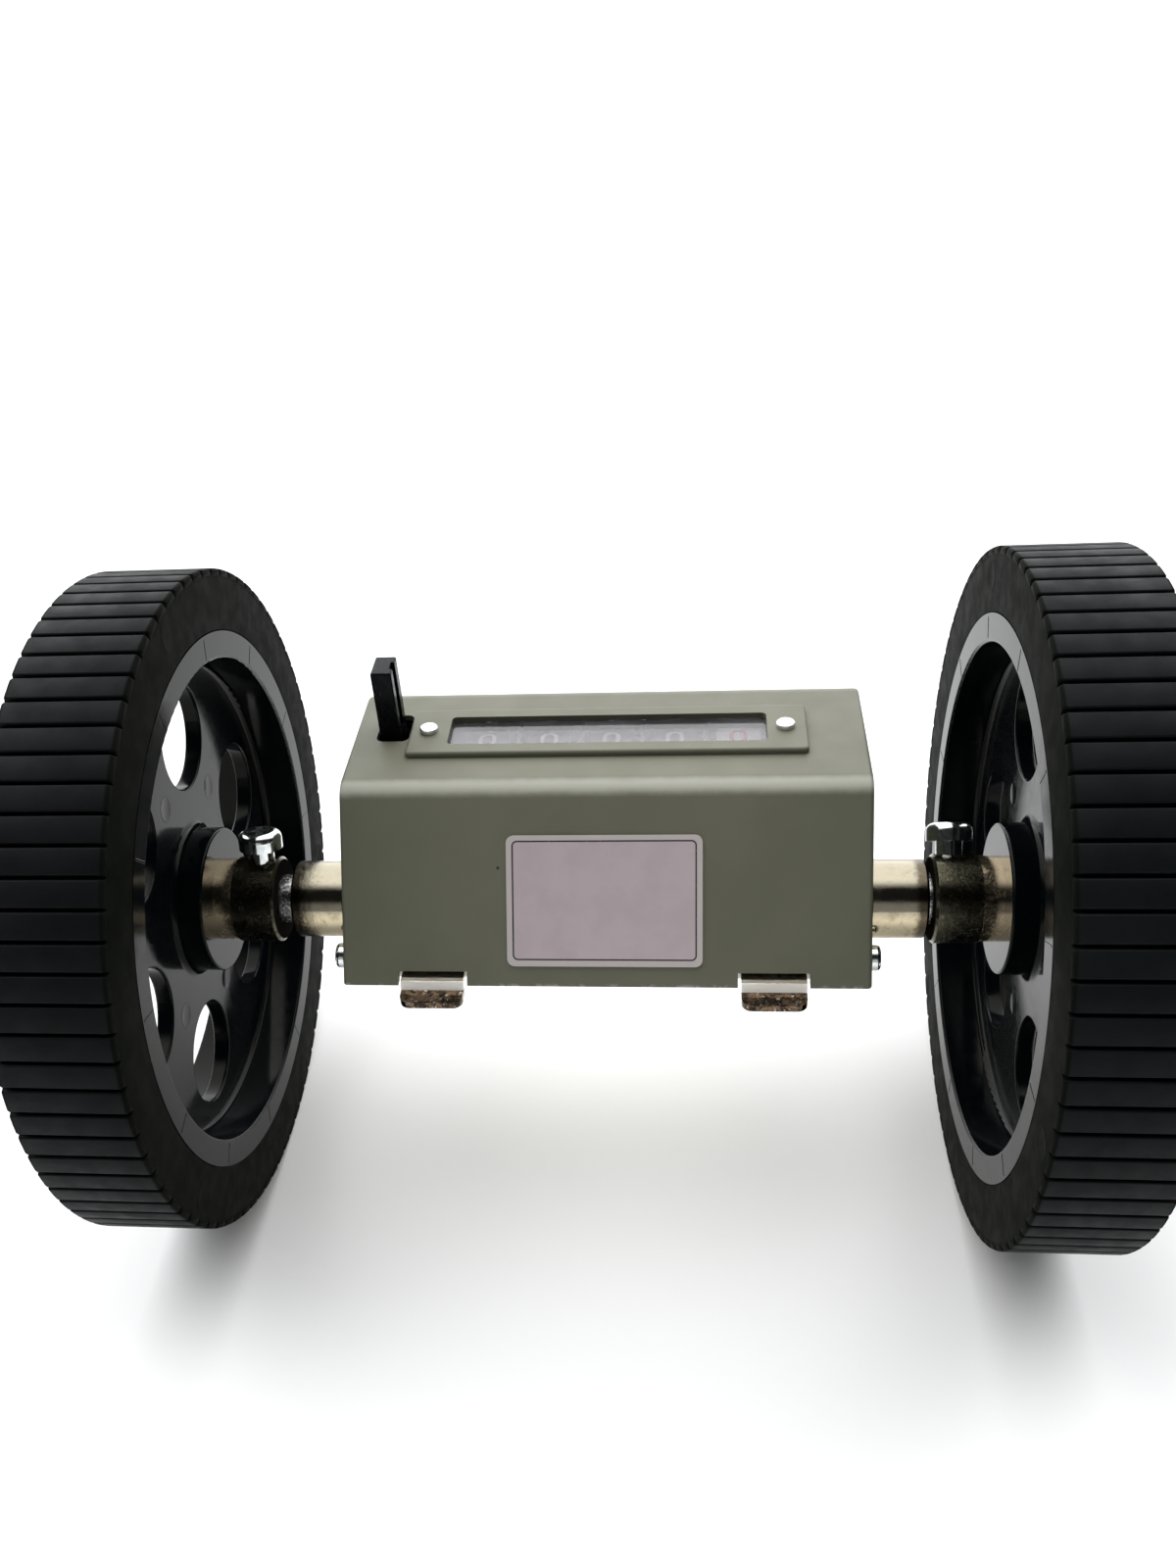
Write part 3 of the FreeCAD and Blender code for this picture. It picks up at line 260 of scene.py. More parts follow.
# sprayed enamel: faint orange peel, slow drift of tone, a few pinholes and rubbed lower edges
def greyGreenPaint():
    f = Finish("greyGreenPaint")
    drift = f.span(f.noise(16, 3), 0.35, 0.65)
    colour = f.blend(drift, paint["tone"], paint["shade"])
    pinholes = f.span(f.cells(6.5), 0.030, 0.048, 1.0, 0.0)
    sparse = f.span(f.noise(9, 1), 0.56, 0.60)
    specks = f.math("MULTIPLY", pinholes, sparse)
    colour = f.blend(specks, colour, paint["chip"])
    # a painted highlight: a paler line along the front bend, where the paint catches the light
    height = f.axis("Z")
    fromBend = f.math("SQRT", f.math("ADD", f.math("POWER", f.math("SUBTRACT", f.axis("Y"), 4.9 * mm), 2.0),
                                     f.math("POWER", f.math("SUBTRACT", height, 18.8 * mm), 2.0)))
    bendHighlight = f.span(f.math("ADD", fromBend, f.math("MULTIPLY", f.noise(3.0, 4), 0.6 * mm)), 0.7 * mm, 2.4 * mm, 1.0, 0.0)
    colour = f.blend(f.math("MULTIPLY", bendHighlight, 0.85), colour, paint["bendHighlight"])
    edge = f.span(height, -7.15 * mm, -6.65 * mm, 1.0, 0.0)
    rub = f.math("MULTIPLY", edge, f.span(f.noise(1.6, 5), 0.50, 0.62))
    colour = f.blend(rub, colour, paint["rubbed"])
    peel = f.bump(f.noise(0.9, 2, 0.4), 0.012)
    grain = f.bump(f.noise(0.12, 2, 0.5), 0.0025, under=peel)
    rough = f.span(f.noise(5, 4), 0.3, 0.7, 0.46, 0.56)
    return f.finish(colour, rough, grain, Specular_IOR_Level=0.28, Coat_Weight=0.05, Coat_Roughness=0.35)


# plated, lathe-turned metal: fine rings around X, blotchy stains, small pits
def turnedPlate(name, tone, stain, ringDepth, rough, stained):
    f = Finish(name)
    rings = f.noise(0.16, 3, 0.6, at=f.stretched(scale=(1, 0.02, 0.02)))
    blotch = f.span(f.noise(2.2, 6, 0.62), 0.50, 0.66)
    fine = f.span(f.noise(0.35, 3), 0.42, 0.62)
    colour = f.blend(f.math("MULTIPLY", blotch, stained), tone, stain)
    pits = f.span(f.cells(0.55), 0.05, 0.16)
    colour = f.blend(pits, tuple(c * 0.45 for c in stain), colour)
    gloss = f.math("ADD", f.span(fine, 0, 1, rough, rough * 1.5), f.math("MULTIPLY", blotch, rough * 0.8))
    relief = f.bump(rings, ringDepth)
    relief = f.bump(pits, 0.010, 0.6, under=relief)
    relief = f.bump(f.noise(1.4, 4), 0.012, under=relief)
    return f, colour, gloss, relief


def bushingMetal():
    f, colour, gloss, relief = turnedPlate("bushingMetal", (0.51, 0.44, 0.30), (0.25, 0.16, 0.09), 0.003, 0.10, 0.45)
    # painted shade: the top is darkened to tone down the bright reflection along its upper side
    topShade = f.span(f.math("ADD", f.axis("Z"), f.math("MULTIPLY", f.noise(2.0, 4), 1.5 * mm)), 1.2 * mm, 3.4 * mm)
    colour = f.blend(f.math("MULTIPLY", topShade, 0.9), colour, (0.235, 0.215, 0.165))
    fromMiddle = f.math("ABSOLUTE", f.math("SUBTRACT", f.axis("X"), 0.9 * mm))
    end = f.span(f.math("ADD", fromMiddle, f.math("MULTIPLY", f.noise(0.9, 5), 1.6 * mm)), 48.2 * mm, 49.4 * mm)
    colour = f.blend(f.math("MULTIPLY", end, 0.85), colour, (0.045, 0.034, 0.022))
    return f.finish(colour, gloss, relief, Metallic=1.0)


# yellow-passivated collar, scuffed, with a painted highlight ring at its turned inner end and painted shade on its
# inner end face
def hubMetal():
    f, colour, gloss, relief = turnedPlate("hubMetal", (0.115, 0.107, 0.072), (0.018, 0.020, 0.016), 0.004, 0.16, 0.9)
    along = f.math("ABSOLUTE", f.axis("X"))
    around = f.math("SQRT", f.math("ADD", f.math("POWER", f.axis("Y"), 2.0), f.math("POWER", f.axis("Z"), 2.0)))
    scuffs = f.span(f.noise(0.5, 5, 0.7, at=f.stretched(scale=(1, 1, 0.3), turn=(0.3, 0.4, 0.2))), 0.56, 0.66)
    colour = f.blend(f.math("MULTIPLY", scuffs, 0.35), colour, (0.42, 0.37, 0.27))
    # painted highlight: a bright ring of colour where the turned edge would catch the light
    lip = f.math("MULTIPLY", f.span(along, 52.25 * mm, 52.40 * mm, 1.0, 0.0), f.span(around, 7.08 * mm, 7.20 * mm))
    colour = f.blend(lip, colour, f.blend(f.span(f.noise(0.8, 5), 0.4, 0.6), (0.86, 0.72, 0.58), (0.42, 0.33, 0.25)))
    # painted shade: the inner end face is near black and has no metal shine
    endFace = f.math("MULTIPLY", f.span(along, 51.52 * mm, 51.60 * mm, 1.0, 0.0),
                     f.span(around, 7.05 * mm, 7.18 * mm, 1.0, 0.0))
    colour = f.blend(endFace, colour, (0.010, 0.009, 0.008))
    bare = f.math("SUBTRACT", 1.0, endFace)
    f.join(bare, f.shader.inputs["Metallic"])
    f.join(f.math("MULTIPLY", bare, 0.5), f.shader.inputs["Specular IOR Level"])
    neck = f.span(along, 58.35 * mm, 58.6 * mm)
    colour = f.blend(f.math("MULTIPLY", neck, 0.90), colour, (0.74, 0.60, 0.40))
    return f.finish(colour, gloss, relief)


def zincSheet():
    f = Finish("zincSheet")
    cloud = f.span(f.noise(3.0, 5), 0.35, 0.68)
    colour = f.blend(cloud, (0.80, 0.76, 0.68), (0.62, 0.54, 0.44))
    stain = f.span(f.noise(1.1, 6, 0.7), 0.60, 0.70)
    colour = f.blend(stain, colour, (0.30, 0.17, 0.10))
    rolled = f.noise(0.25, 3, at=f.stretched(scale=(0.06, 1, 1)))
    relief = f.bump(rolled, 0.006)
    relief = f.bump(f.noise(1.0, 4), 0.012, under=relief)
    # the feet's flats are painted dark, with brown mottling and pale spots: partly stain, partly painted shade
    flat = f.span(f.axis("Z"), -7.46 * mm, -7.38 * mm, 1.0, 0.0)
    stainAndShade = f.blend(f.span(f.noise(1.0, 5, 0.7), 0.42, 0.60), (0.030, 0.024, 0.020), (0.20, 0.135, 0.085))
    stainAndShade = f.blend(f.span(f.noise(0.7, 4, 0.6), 0.60, 0.68), stainAndShade, (0.62, 0.55, 0.46))
    colour = f.blend(flat, colour, stainAndShade)
    # their slopes are painted dull white and made mostly non-metallic: a painted reflection of the bright surroundings
    slope = f.math("MULTIPLY", f.span(f.axis("Z"), -7.46 * mm, -7.38 * mm),
                   f.span(f.axis("Z"), -6.20 * mm, -6.06 * mm, 1.0, 0.0))
    colour = f.blend(slope, colour, (0.92, 0.88, 0.80))
    f.join(f.math("SUBTRACT", 1.0, f.math("MULTIPLY", slope, 0.85)), f.shader.inputs["Metallic"])
    return f.finish(colour, f.span(cloud, 0, 1, 0.08, 0.17), relief)


# bright zinc on small hardware and bars: clean and a little mottled, with a fine uneven relief
def brightSteel(name, tone, rough):
    f = Finish(name)
    cloud = f.span(f.noise(0.9, 5), 0.35, 0.65)
    colour = f.blend(cloud, tone, tuple(c * 0.80 for c in tone))
    rough = f.span(f.noise(0.4, 4), 0.35, 0.7, rough, rough * 1.8)
    relief = f.bump(f.noise(0.5, 4), 0.006)
    return f.finish(colour, rough, relief, Metallic=1.0)


# glossy black moulding with faint flow swirls and dust in its wells
def wheelPlastic():
    f = Finish("wheelPlastic")
    flow = f.span(f.noise(14, 4, 0.6), 0.35, 0.70)
    colour = f.blend(flow, (0.0012, 0.0020, 0.0028), (0.0024, 0.0032, 0.0038))
    dust = f.span(f.noise(0.7, 6, 0.75), 0.63, 0.74)
    colour = f.blend(f.math("MULTIPLY", dust, 0.20), colour, (0.03, 0.03, 0.028))
    relief = f.bump(f.noise(9.0, 2), 0.012, 0.6)
    relief = f.bump(f.noise(0.35, 3), 0.0012, under=relief)
    rough = f.span(f.noise(2.4, 5), 0.3, 0.72, 0.09, 0.15)
    return f.finish(colour, rough, relief, Specular_IOR_Level=0.08, Specular_Tint=(1.0, 0.98, 0.86, 1.0))


# moulded rubber, blue-black on the tread and greyer on the flat sides
def tyreRubber():
    f = Finish("tyreRubber")
    side = f.math("ABSOLUTE", f.axis("X"))
    inner = f.span(side, 59.45 * mm, 59.9 * mm, 1.0, 0.0)
    outer = f.span(side, 75.7 * mm, 76.15 * mm)
    flank = f.math("MAXIMUM", inner, outer)
    cloud = f.span(f.noise(8, 5, 0.6), 0.35, 0.68)
    tread = f.blend(cloud, (0.0034, 0.0046, 0.0050), (0.0052, 0.0066, 0.0070))
    wall = f.blend(cloud, (0.0038, 0.0046, 0.0034), (0.0056, 0.0064, 0.0048))
    colour = f.blend(flank, tread, wall)
    bloom = f.span(f.noise(0.8, 6, 0.75), 0.60, 0.76)
    colour = f.blend(f.math("MULTIPLY", bloom, 0.3), colour, (0.016, 0.017, 0.015))
    rough = f.span(f.noise(3.5, 5), 0.3, 0.7, 0.50, 0.64)
    relief = f.bump(f.noise(0.30, 4), 0.008)
    relief = f.bump(f.noise(3.0, 3), 0.030, under=relief)
    f.join(f.span(flank, 0.0, 1.0, 0.07, 0.012), f.shader.inputs["Specular IOR Level"])
    return f.finish(colour, rough, relief)


def leverPlastic():
    f = Finish("leverPlastic")
    cloud = f.span(f.noise(1.5, 4), 0.35, 0.68)
    colour = f.blend(cloud, (0.0008, 0.0011, 0.0026), (0.0014, 0.0018, 0.0036))
    scrape = f.span(f.noise(0.5, 4, at=f.stretched(scale=(1, 1, 0.12))), 0.60, 0.72)
    colour = f.blend(f.math("MULTIPLY", scrape, 0.5), colour, (0.06, 0.06, 0.06))
    relief = f.bump(f.noise(0.20, 3), 0.004)
    return f.finish(colour, f.span(cloud, 0, 1, 0.22, 0.34), relief, Specular_IOR_Level=0.08)


# clear acrylic, hazed and finely scratched by wiping
def windowPane():
    f = Finish("windowPane")
    wipe = f.noise(0.25, 4, at=f.stretched(scale=(0.05, 1, 1)))
    haze = f.span(f.noise(2.5, 5), 0.3, 0.7, 0.05, 0.11)
    relief = f.bump(wipe, 0.0012)
    relief = f.bump(f.noise(9, 2), 0.05, under=relief)
    # a pale film that makes the pane less clear towards the front edge, and smears
    front = f.span(f.axis("Y"), 15.6 * mm, 20.5 * mm, 1.0, 0.0)
    smear = f.span(f.noise(3.2, 2, 0.5, at=f.stretched(scale=(0.5, 1, 1))), 0.42, 0.70)
    film = f.math("ADD", f.math("MULTIPLY", front, 0.09), f.math("MULTIPLY", smear, 0.06))
    clear = f.math("SUBTRACT", 0.95, film, clamp=True)
    f.join(clear, f.shader.inputs["Transmission Weight"])
    tone = f.blend(f.math("MULTIPLY", film, 2.0), (0.58, 0.56, 0.59), (0.62, 0.59, 0.61))
    return f.finish(tone, haze, relief, IOR=1.49, Specular_IOR_Level=0.10)


label = {
    "centre": (1.3, -5.35, 4.05), "half": (15.2, 10.25), "corner": 1.2, "margin": 1.0, "line": 0.24,
    "lean": math.atan2(26.2, 17.7),
    "field": (0.570, 0.480, 0.500), "border": (0.590, 0.530, 0.520), "ink": (0.016, 0.014, 0.020),
}


# lilac-grey foil; a thin dark line runs round it inside a lighter border. It has no lettering
def labelFoil():
    f = Finish("labelFoil")
    lean = label["lean"]
    down = f.add("ShaderNodeVectorMath", operation="SUBTRACT")
    f.join(f.where, down.inputs[0])
    down.inputs[1].default_value = tuple(c * mm for c in label["centre"])
    along = f.add("ShaderNodeVectorMath", operation="DOT_PRODUCT")
    f.join(down.outputs[0], along.inputs[0])
    along.inputs[1].default_value = (0, math.cos(lean), math.sin(lean))
    across = f.axis("X", down.outputs[0])
    halfX, halfY = label["half"]
    inset, corner = label["margin"], label["corner"] * 0.6
    dx = f.math("MAXIMUM", f.math("SUBTRACT", f.math("ABSOLUTE", across), (halfX - inset - corner) * mm), 0.0)
    dy = f.math("MAXIMUM", f.math("SUBTRACT", f.math("ABSOLUTE", along.outputs["Value"]),
                                  (halfY - inset - corner) * mm), 0.0)
    away = f.math("SQRT", f.math("ADD", f.math("MULTIPLY", dx, dx), f.math("MULTIPLY", dy, dy)))
    offLine = f.math("ABSOLUTE", f.math("SUBTRACT", away, corner * mm))
    ink = f.span(offLine, label["line"] * 0.4 * mm, label["line"] * 0.6 * mm, 1.0, 0.0)
    outside = f.span(away, (corner - 0.05) * mm, (corner + 0.05) * mm)
    cloud = f.span(f.noise(5, 4), 0.35, 0.68)
    field = f.blend(cloud, label["field"], tuple(c * 0.93 for c in label["field"]))
    colour = f.blend(outside, field, label["border"])
    wear = f.span(f.noise(0.5, 5, 0.7), 0.60, 0.70)
    ink = f.math("MULTIPLY", ink, f.math("SUBTRACT", 1.0, f.math("MULTIPLY", wear, 0.35)))
    colour = f.blend(ink, colour, label["ink"])
    relief = f.bump(f.noise(0.25, 3), 0.003)
    relief = f.bump(f.noise(6, 2), 0.02, under=relief)
    rough = f.span(f.noise(1.2, 4), 0.3, 0.7, 0.30, 0.42)
    return f.finish(colour, rough, relief, Metallic=0.15, Coat_Weight=0.2, Coat_Roughness=0.2)


def mouldedPlastic(name, tone, rough):
    f = Finish(name)
    cloud = f.span(f.noise(2.0, 4), 0.35, 0.68)
    colour = f.blend(cloud, tone, tuple(c * 0.86 for c in tone))
    relief = f.bump(f.noise(0.3, 3), 0.004)
    return f.finish(colour, f.span(f.noise(0.8, 4), 0.3, 0.7, rough, rough * 1.4), relief)


finishes = {
    "paint": greyGreenPaint(),
    "bushing": bushingMetal(),
    "hub": hubMetal(),
    "zinc": zincSheet(),
    "steel": brightSteel("groundSteel", (0.74, 0.73, 0.71), 0.16),
    "screw": brightSteel("screwZinc", (0.70, 0.73, 0.72), 0.12),
    "rivet": brightSteel("rivetAluminium", (0.74, 0.74, 0.71), 0.30),
    "spring": brightSteel("springWire", (0.45, 0.44, 0.42), 0.24),
    "brass": brightSteel("gearBrass", (0.80, 0.60, 0.28), 0.22),
    "wheel": wheelPlastic(),
    "tyre": tyreRubber(),
    "lever": leverPlastic(),
    "pane": windowPane(),
    "label": labelFoil(),
    "drum": mouldedPlastic("blackDrum", (0.020, 0.021, 0.023), 0.30),
    "lastDrum": mouldedPlastic("whiteDrum", (0.74, 0.71, 0.66), 0.34),
    "digit": mouldedPlastic("digitWhite", (0.80, 0.80, 0.78), 0.45),
    "lastDigit": mouldedPlastic("digitRed", (0.62, 0.07, 0.03), 0.45),
    "acetal": mouldedPlastic("naturalAcetal", (0.72, 0.69, 0.61), 0.36),
}

carried = {
    "housing_cover": "paint", "window_bezel": "paint", "base_plate": "zinc", "left_frame_plate": "zinc",
    "right_frame_plate": "zinc", "frame_stay": "steel", "shaft_clips": "spring", "left_bushing": "bushing",
    "right_bushing": "bushing", "left_hub_sleeve": "hub", "right_hub_sleeve": "hub", "main_shaft": "steel",
    "number_shaft": "steel", "pinion_shaft": "steel", "idler_stud": "steel", "reset_shaft": "steel",
    "cover_screws": "screw", "left_clamp_screw": "screw", "right_clamp_screw": "screw",
    "bezel_rivets": "rivet", "window_lens": "pane", "data_label": "label", "left_wheel_body": "wheel",
    "right_wheel_body": "wheel", "left_tyre": "tyre", "right_tyre": "tyre", "reset_lever": "lever",
    "number_wheel_1": "lastDrum", "number_wheel_2": "drum", "number_wheel_3": "drum",
    "number_wheel_4": "drum", "number_wheel_5": "drum", "transfer_pinion_1": "acetal",
    "transfer_pinion_2": "acetal", "transfer_pinion_3": "acetal", "transfer_pinion_4": "acetal",
    "idler_gear": "acetal", "reset_fingers": "acetal", "drive_pinion": "brass", "reset_spring": "spring",
}


def finishCadNodes():
    for name, key in carried.items():
        for slot in nodes[name].material_slots:
            slot.link = "OBJECT"
            slot.material = finishes[key]


# tools for new pieces
def linkNew(name, mesh):
    thing = bpy.data.objects.new(name, mesh)
    scene.collection.objects.link(thing)
    return thing


# a mesh filled by fill(bm), doubles merged and faces turned outwards
def meshFrom(name, fill):
    bm = bmesh.new()
    fill(bm)
    bmesh.ops.remove_doubles(bm, verts=bm.verts, dist=1e-7)
    bmesh.ops.recalc_face_normals(bm, faces=bm.faces)
    mesh = bpy.data.meshes.new(name)
    bm.to_mesh(mesh)
    bm.free()
    return mesh


# the thing with its modifiers made real, as a fresh object; the first one goes
def plain(name, thing):
    bpy.context.view_layer.update()
    graph = bpy.context.evaluated_depsgraph_get()
    mesh = bpy.data.meshes.new_from_object(thing.evaluated_get(graph))
    bpy.data.objects.remove(thing)
    return linkNew(name, mesh)


def smoothByAngle(mesh, degrees=32):
    bm = bmesh.new()
    bm.from_mesh(mesh)
    limit = math.radians(degrees)
    for edge in bm.edges:
        edge.smooth = len(edge.link_faces) == 2 and edge.calc_face_angle(0) < limit
    for face in bm.faces:
        face.smooth = True
    bm.to_mesh(mesh)
    bm.free()


def joinMeshes(name, parts):
    bm = bmesh.new()
    for part in parts:
        bm.from_mesh(part.data)
    mesh = bpy.data.meshes.new(name)
    bm.to_mesh(mesh)
    bm.free()
    for part in parts:
        bpy.data.objects.remove(part)
    return linkNew(name, mesh)


# spin a closed outline of (x, radius) in millimetres around X
def revolve(bm, outline, steps):
    rings = []
    for step in range(steps):
        angle = 2 * math.pi * step / steps
        rings.append([bm.verts.new((x * mm, r * mm * math.cos(angle), r * mm * math.sin(angle)))
                      for x, r in outline])
    count = len(outline)
    for step in range(steps):
        here, there = rings[step], rings[(step + 1) % steps]
        for i in range(count):
            j = (i + 1) % count
            bm.faces.new((here[i], here[j], there[j], there[i]))


# copies of one piece set round the X axis: how many, the first one's angle and the share between them
def ringTree():
    tree = bpy.data.node_groups.new("piecesRoundAxle", "GeometryNodeTree")
    face = tree.interface
    face.new_socket("Geometry", in_out="OUTPUT", socket_type="NodeSocketGeometry")
    sockets = {}
    for name, kind in (("Piece", "NodeSocketObject"), ("Count", "NodeSocketInt"), ("Step", "NodeSocketFloat"),
                       ("Start", "NodeSocketFloat"), ("Finish", "NodeSocketMaterial")):
        sockets[name] = face.new_socket(name, in_out="INPUT", socket_type=kind).identifier
    new = tree.nodes.new
    start, end = new("NodeGroupInput"), new("NodeGroupOutput")
    points = new("GeometryNodeMeshLine")
    points.mode = "OFFSET"
    points.inputs["Offset"].default_value = (0, 0, 0)
    source = new("GeometryNodeObjectInfo")
    source.transform_space = "ORIGINAL"
    copies = new("GeometryNodeInstanceOnPoints")
    index = new("GeometryNodeInputIndex")
    turn = new("ShaderNodeMath")
    turn.operation = "MULTIPLY_ADD"
    angles = new("ShaderNodeCombineXYZ")
    rotation = new("FunctionNodeEulerToRotation")
    real = new("GeometryNodeRealizeInstances")
    skin = new("GeometryNodeSetMaterial")
    join = tree.links.new
    join(start.outputs["Count"], points.inputs["Count"])
    join(start.outputs["Piece"], source.inputs["Object"])
    join(points.outputs["Mesh"], copies.inputs["Points"])
    join(source.outputs["Geometry"], copies.inputs["Instance"])
    join(index.outputs["Index"], turn.inputs[0])
    join(start.outputs["Step"], turn.inputs[1])
    join(start.outputs["Start"], turn.inputs[2])
    join(turn.outputs["Value"], angles.inputs["X"])
    join(angles.outputs["Vector"], rotation.inputs["Euler"])
    join(rotation.outputs["Rotation"], copies.inputs["Rotation"])
    join(copies.outputs["Instances"], real.inputs["Geometry"])
    join(real.outputs["Geometry"], skin.inputs["Geometry"])
    join(start.outputs["Finish"], skin.inputs["Material"])
    join(skin.outputs["Geometry"], end.inputs["Geometry"])
    return tree, sockets


roundAxle = ringTree()


# count copies of a piece round the axle, as one plain mesh
def ringOf(name, piece, count, startDegrees, finish, stepDegrees=None):
    tree, sockets = roundAxle
    holder = linkNew(name + "Holder", bpy.data.meshes.new(name))
    modifier = holder.modifiers.new("pieces", "NODES")
    modifier.node_group = tree
    modifier[sockets["Piece"]] = piece
    modifier[sockets["Count"]] = count
    modifier[sockets["Step"]] = math.radians(stepDegrees or 360.0 / count)
    modifier[sockets["Start"]] = math.radians(startDegrees)
    modifier[sockets["Finish"]] = finish
    done = plain(name, holder)
    bpy.data.objects.remove(piece)
    return done


# tyres
tyre = {
    "radius": 53.0, "floor": 52.0, "inside": 43.42, "innerFace": 59.2, "width": 17.2, "ribs": 80,
    "ribShare": 0.865, "ribRound": 0.26, "shoulder": 0.5, "markRadius": 48.7, "markSize": 2.5,
}


# one tread rib, pointing along +Y: crowned to the tyre's radius, its long edges and ends rounded
def ribMesh(bm):
    start, end = tyre["innerFace"], tyre["innerFace"] + tyre["width"]
    half = math.radians(360 / tyre["ribs"]) * tyre["ribShare"] / 2
    top, foot, corner = tyre["radius"], tyre["floor"] - 0.25, tyre["ribRound"]
    spread = corner / top

    def section(drop, pinch):
        points = [(foot, -half - 0.004), (top - corner * 1.6 - drop, -half)]
        for k in range(4):
            a = math.radians(90 * k / 3)
            points.append((top - drop - corner * (1 - math.sin(a)), -half + spread * (1 - math.cos(a)) + pinch))
        points += [(top - drop, 0.0)]
        points += [(r, -a) for r, a in reversed(points[:-1])]
        return points

    rings = []
    for x, drop, pinch in ((start, 0.42, 0.004), (start + 0.12, 0.15, 0.002), (start + 0.42, 0, 0),
                           (end - 0.42, 0, 0), (end - 0.12, 0.15, 0.002), (end, 0.42, 0.004)):
        rings.append([bm.verts.new((x * mm, r * mm * math.cos(a), r * mm * math.sin(a)))
                      for r, a in section(drop, pinch)])
    for here, there in zip(rings, rings[1:]):
        for i in range(len(here) - 1):
            bm.faces.new((here[i], here[i + 1], there[i + 1], there[i]))
        bm.faces.new((here[-1], here[0], there[0], there[-1]))
    bm.faces.new(rings[0])
    bm.faces.new(list(reversed(rings[-1])))


def carcassMesh(bm):
    start, end = tyre["innerFace"], tyre["innerFace"] + tyre["width"]
    low, high, edge = tyre["inside"], tyre["floor"], tyre["shoulder"]
    outline = [(start + 0.25, low), (start, low + 0.25)]
    for k in range(4):
        a = math.radians(90 * k / 3)
        outline.append((start + edge * (1 - math.cos(a)), high - edge + edge * math.sin(a)))
    for k in range(4):
        a = math.radians(90 * k / 3)
        outline.append((end - edge * (1 - math.sin(a)), high - edge + edge * math.cos(a)))
    outline += [(end, low + 0.25), (end - 0.25, low)]
    revolve(bm, outline, 240)


# a low ring with a centre pip, where the rubber was fed in; it lies on the tyre's inner face at +Y
def mouldMark(bm):
    face, middle, size = tyre["innerFace"], tyre["markRadius"], tyre["markSize"]
    outline = [(0.0, 0.03), (0.16, 0.03), (0.34, -0.03), (0.36, 0.008), (size - 0.5, 0.012),
               (size - 0.28, 0.035), (size - 0.08, 0.035), (size, -0.05)]
    steps = 40
    rings = []
    for r, lift in outline[1:]:
        rings.append([bm.verts.new(((face - lift) * mm, (middle + r * math.cos(2 * math.pi * k / steps)) * mm,
                                    r * math.sin(2 * math.pi * k / steps) * mm)) for k in range(steps)])
    bm.faces.new(rings[0])
    for here, there in zip(rings, rings[1:]):
        for k in range(steps):
            j = (k + 1) % steps
            bm.faces.new((here[k], there[k], there[j], here[j]))
    bm.faces.new(list(reversed(rings[-1])))


# the same piece on the left-hand side
def mirrored(thing):
    bm = bmesh.new()
    bm.from_mesh(thing.data)
    bmesh.ops.scale(bm, vec=(-1, 1, 1), verts=bm.verts)
    bmesh.ops.reverse_faces(bm, faces=bm.faces)
    bm.to_mesh(thing.data)
    bm.free()
    return thing


def makeTyre(side, markAngle):
    rib = linkNew("rib", meshFrom("rib", ribMesh))
    tread = ringOf("tread", rib, tyre["ribs"], 0, finishes["tyre"])
    mark = linkNew("mark", meshFrom("mark", mouldMark))
    marks = ringOf("marks", mark, 3, markAngle, finishes["tyre"])
    carcass = linkNew("carcass", meshFrom("carcass", carcassMesh))
    name = f"{side}_ribbed_tyre"
    whole = joinMeshes(name, [carcass, tread, marks])
    if side == "left":
        mirrored(whole)
    whole.data.materials.clear()
    whole.data.materials.append(finishes["tyre"])
    smoothByAngle(whole.data, 38)
    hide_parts(f"{side}_tyre")
    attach(whole, "axle")


# marks left by the mould on the wheels
wheelMarks = {
    "webFace": 66.4, "rimFace": 59.2, "pinRadius": 2.15, "pinAt": 19.6, "notchInside": 39.7,
    "notchOutside": 42.9, "notchWide": 0.36, "notchHigh": 0.05,
}


# the round witness of an ejector pin on the web, a shallow stepped ring
def ejectorMark(bm):
    face, middle, size = wheelMarks["webFace"], wheelMarks["pinAt"], wheelMarks["pinRadius"]
    steps = 32
    rings = []
    for r, lift in ((size - 0.45, 0.010), (size - 0.30, 0.03), (size - 0.12, 0.03), (size, -0.05)):
        rings.append([bm.verts.new(((face - lift) * mm, (middle + r * math.cos(2 * math.pi * k / steps)) * mm,
                                    r * math.sin(2 * math.pi * k / steps) * mm)) for k in range(steps)])
    bm.faces.new(rings[0])
    for here, there in zip(rings, rings[1:]):
        for k in range(steps):
            j = (k + 1) % steps
            bm.faces.new((here[k], there[k], there[j], here[j]))
    bm.faces.new(list(reversed(rings[-1])))


# a fine raised line across the rim's face, with sloped sides
def rimNotch(bm):
    face, high = wheelMarks["rimFace"], wheelMarks["notchHigh"]
    low, top, half = wheelMarks["notchInside"], wheelMarks["notchOutside"], wheelMarks["notchWide"] / 2
    corners = []
    for lift, grow in ((-0.03, 0.06), (high, -0.06)):
        corners.append([bm.verts.new(((face - lift) * mm, y * mm, z * mm)) for y, z in (
            (low - grow, -half - grow), (top + grow, -half - grow), (top + grow, half + grow),
            (low - grow, half + grow))])
    bm.faces.new(corners[1])
    bm.faces.new(list(reversed(corners[0])))
    for i in range(4):
        j = (i + 1) % 4
        bm.faces.new((corners[0][i], corners[0][j], corners[1][j], corners[1][i]))


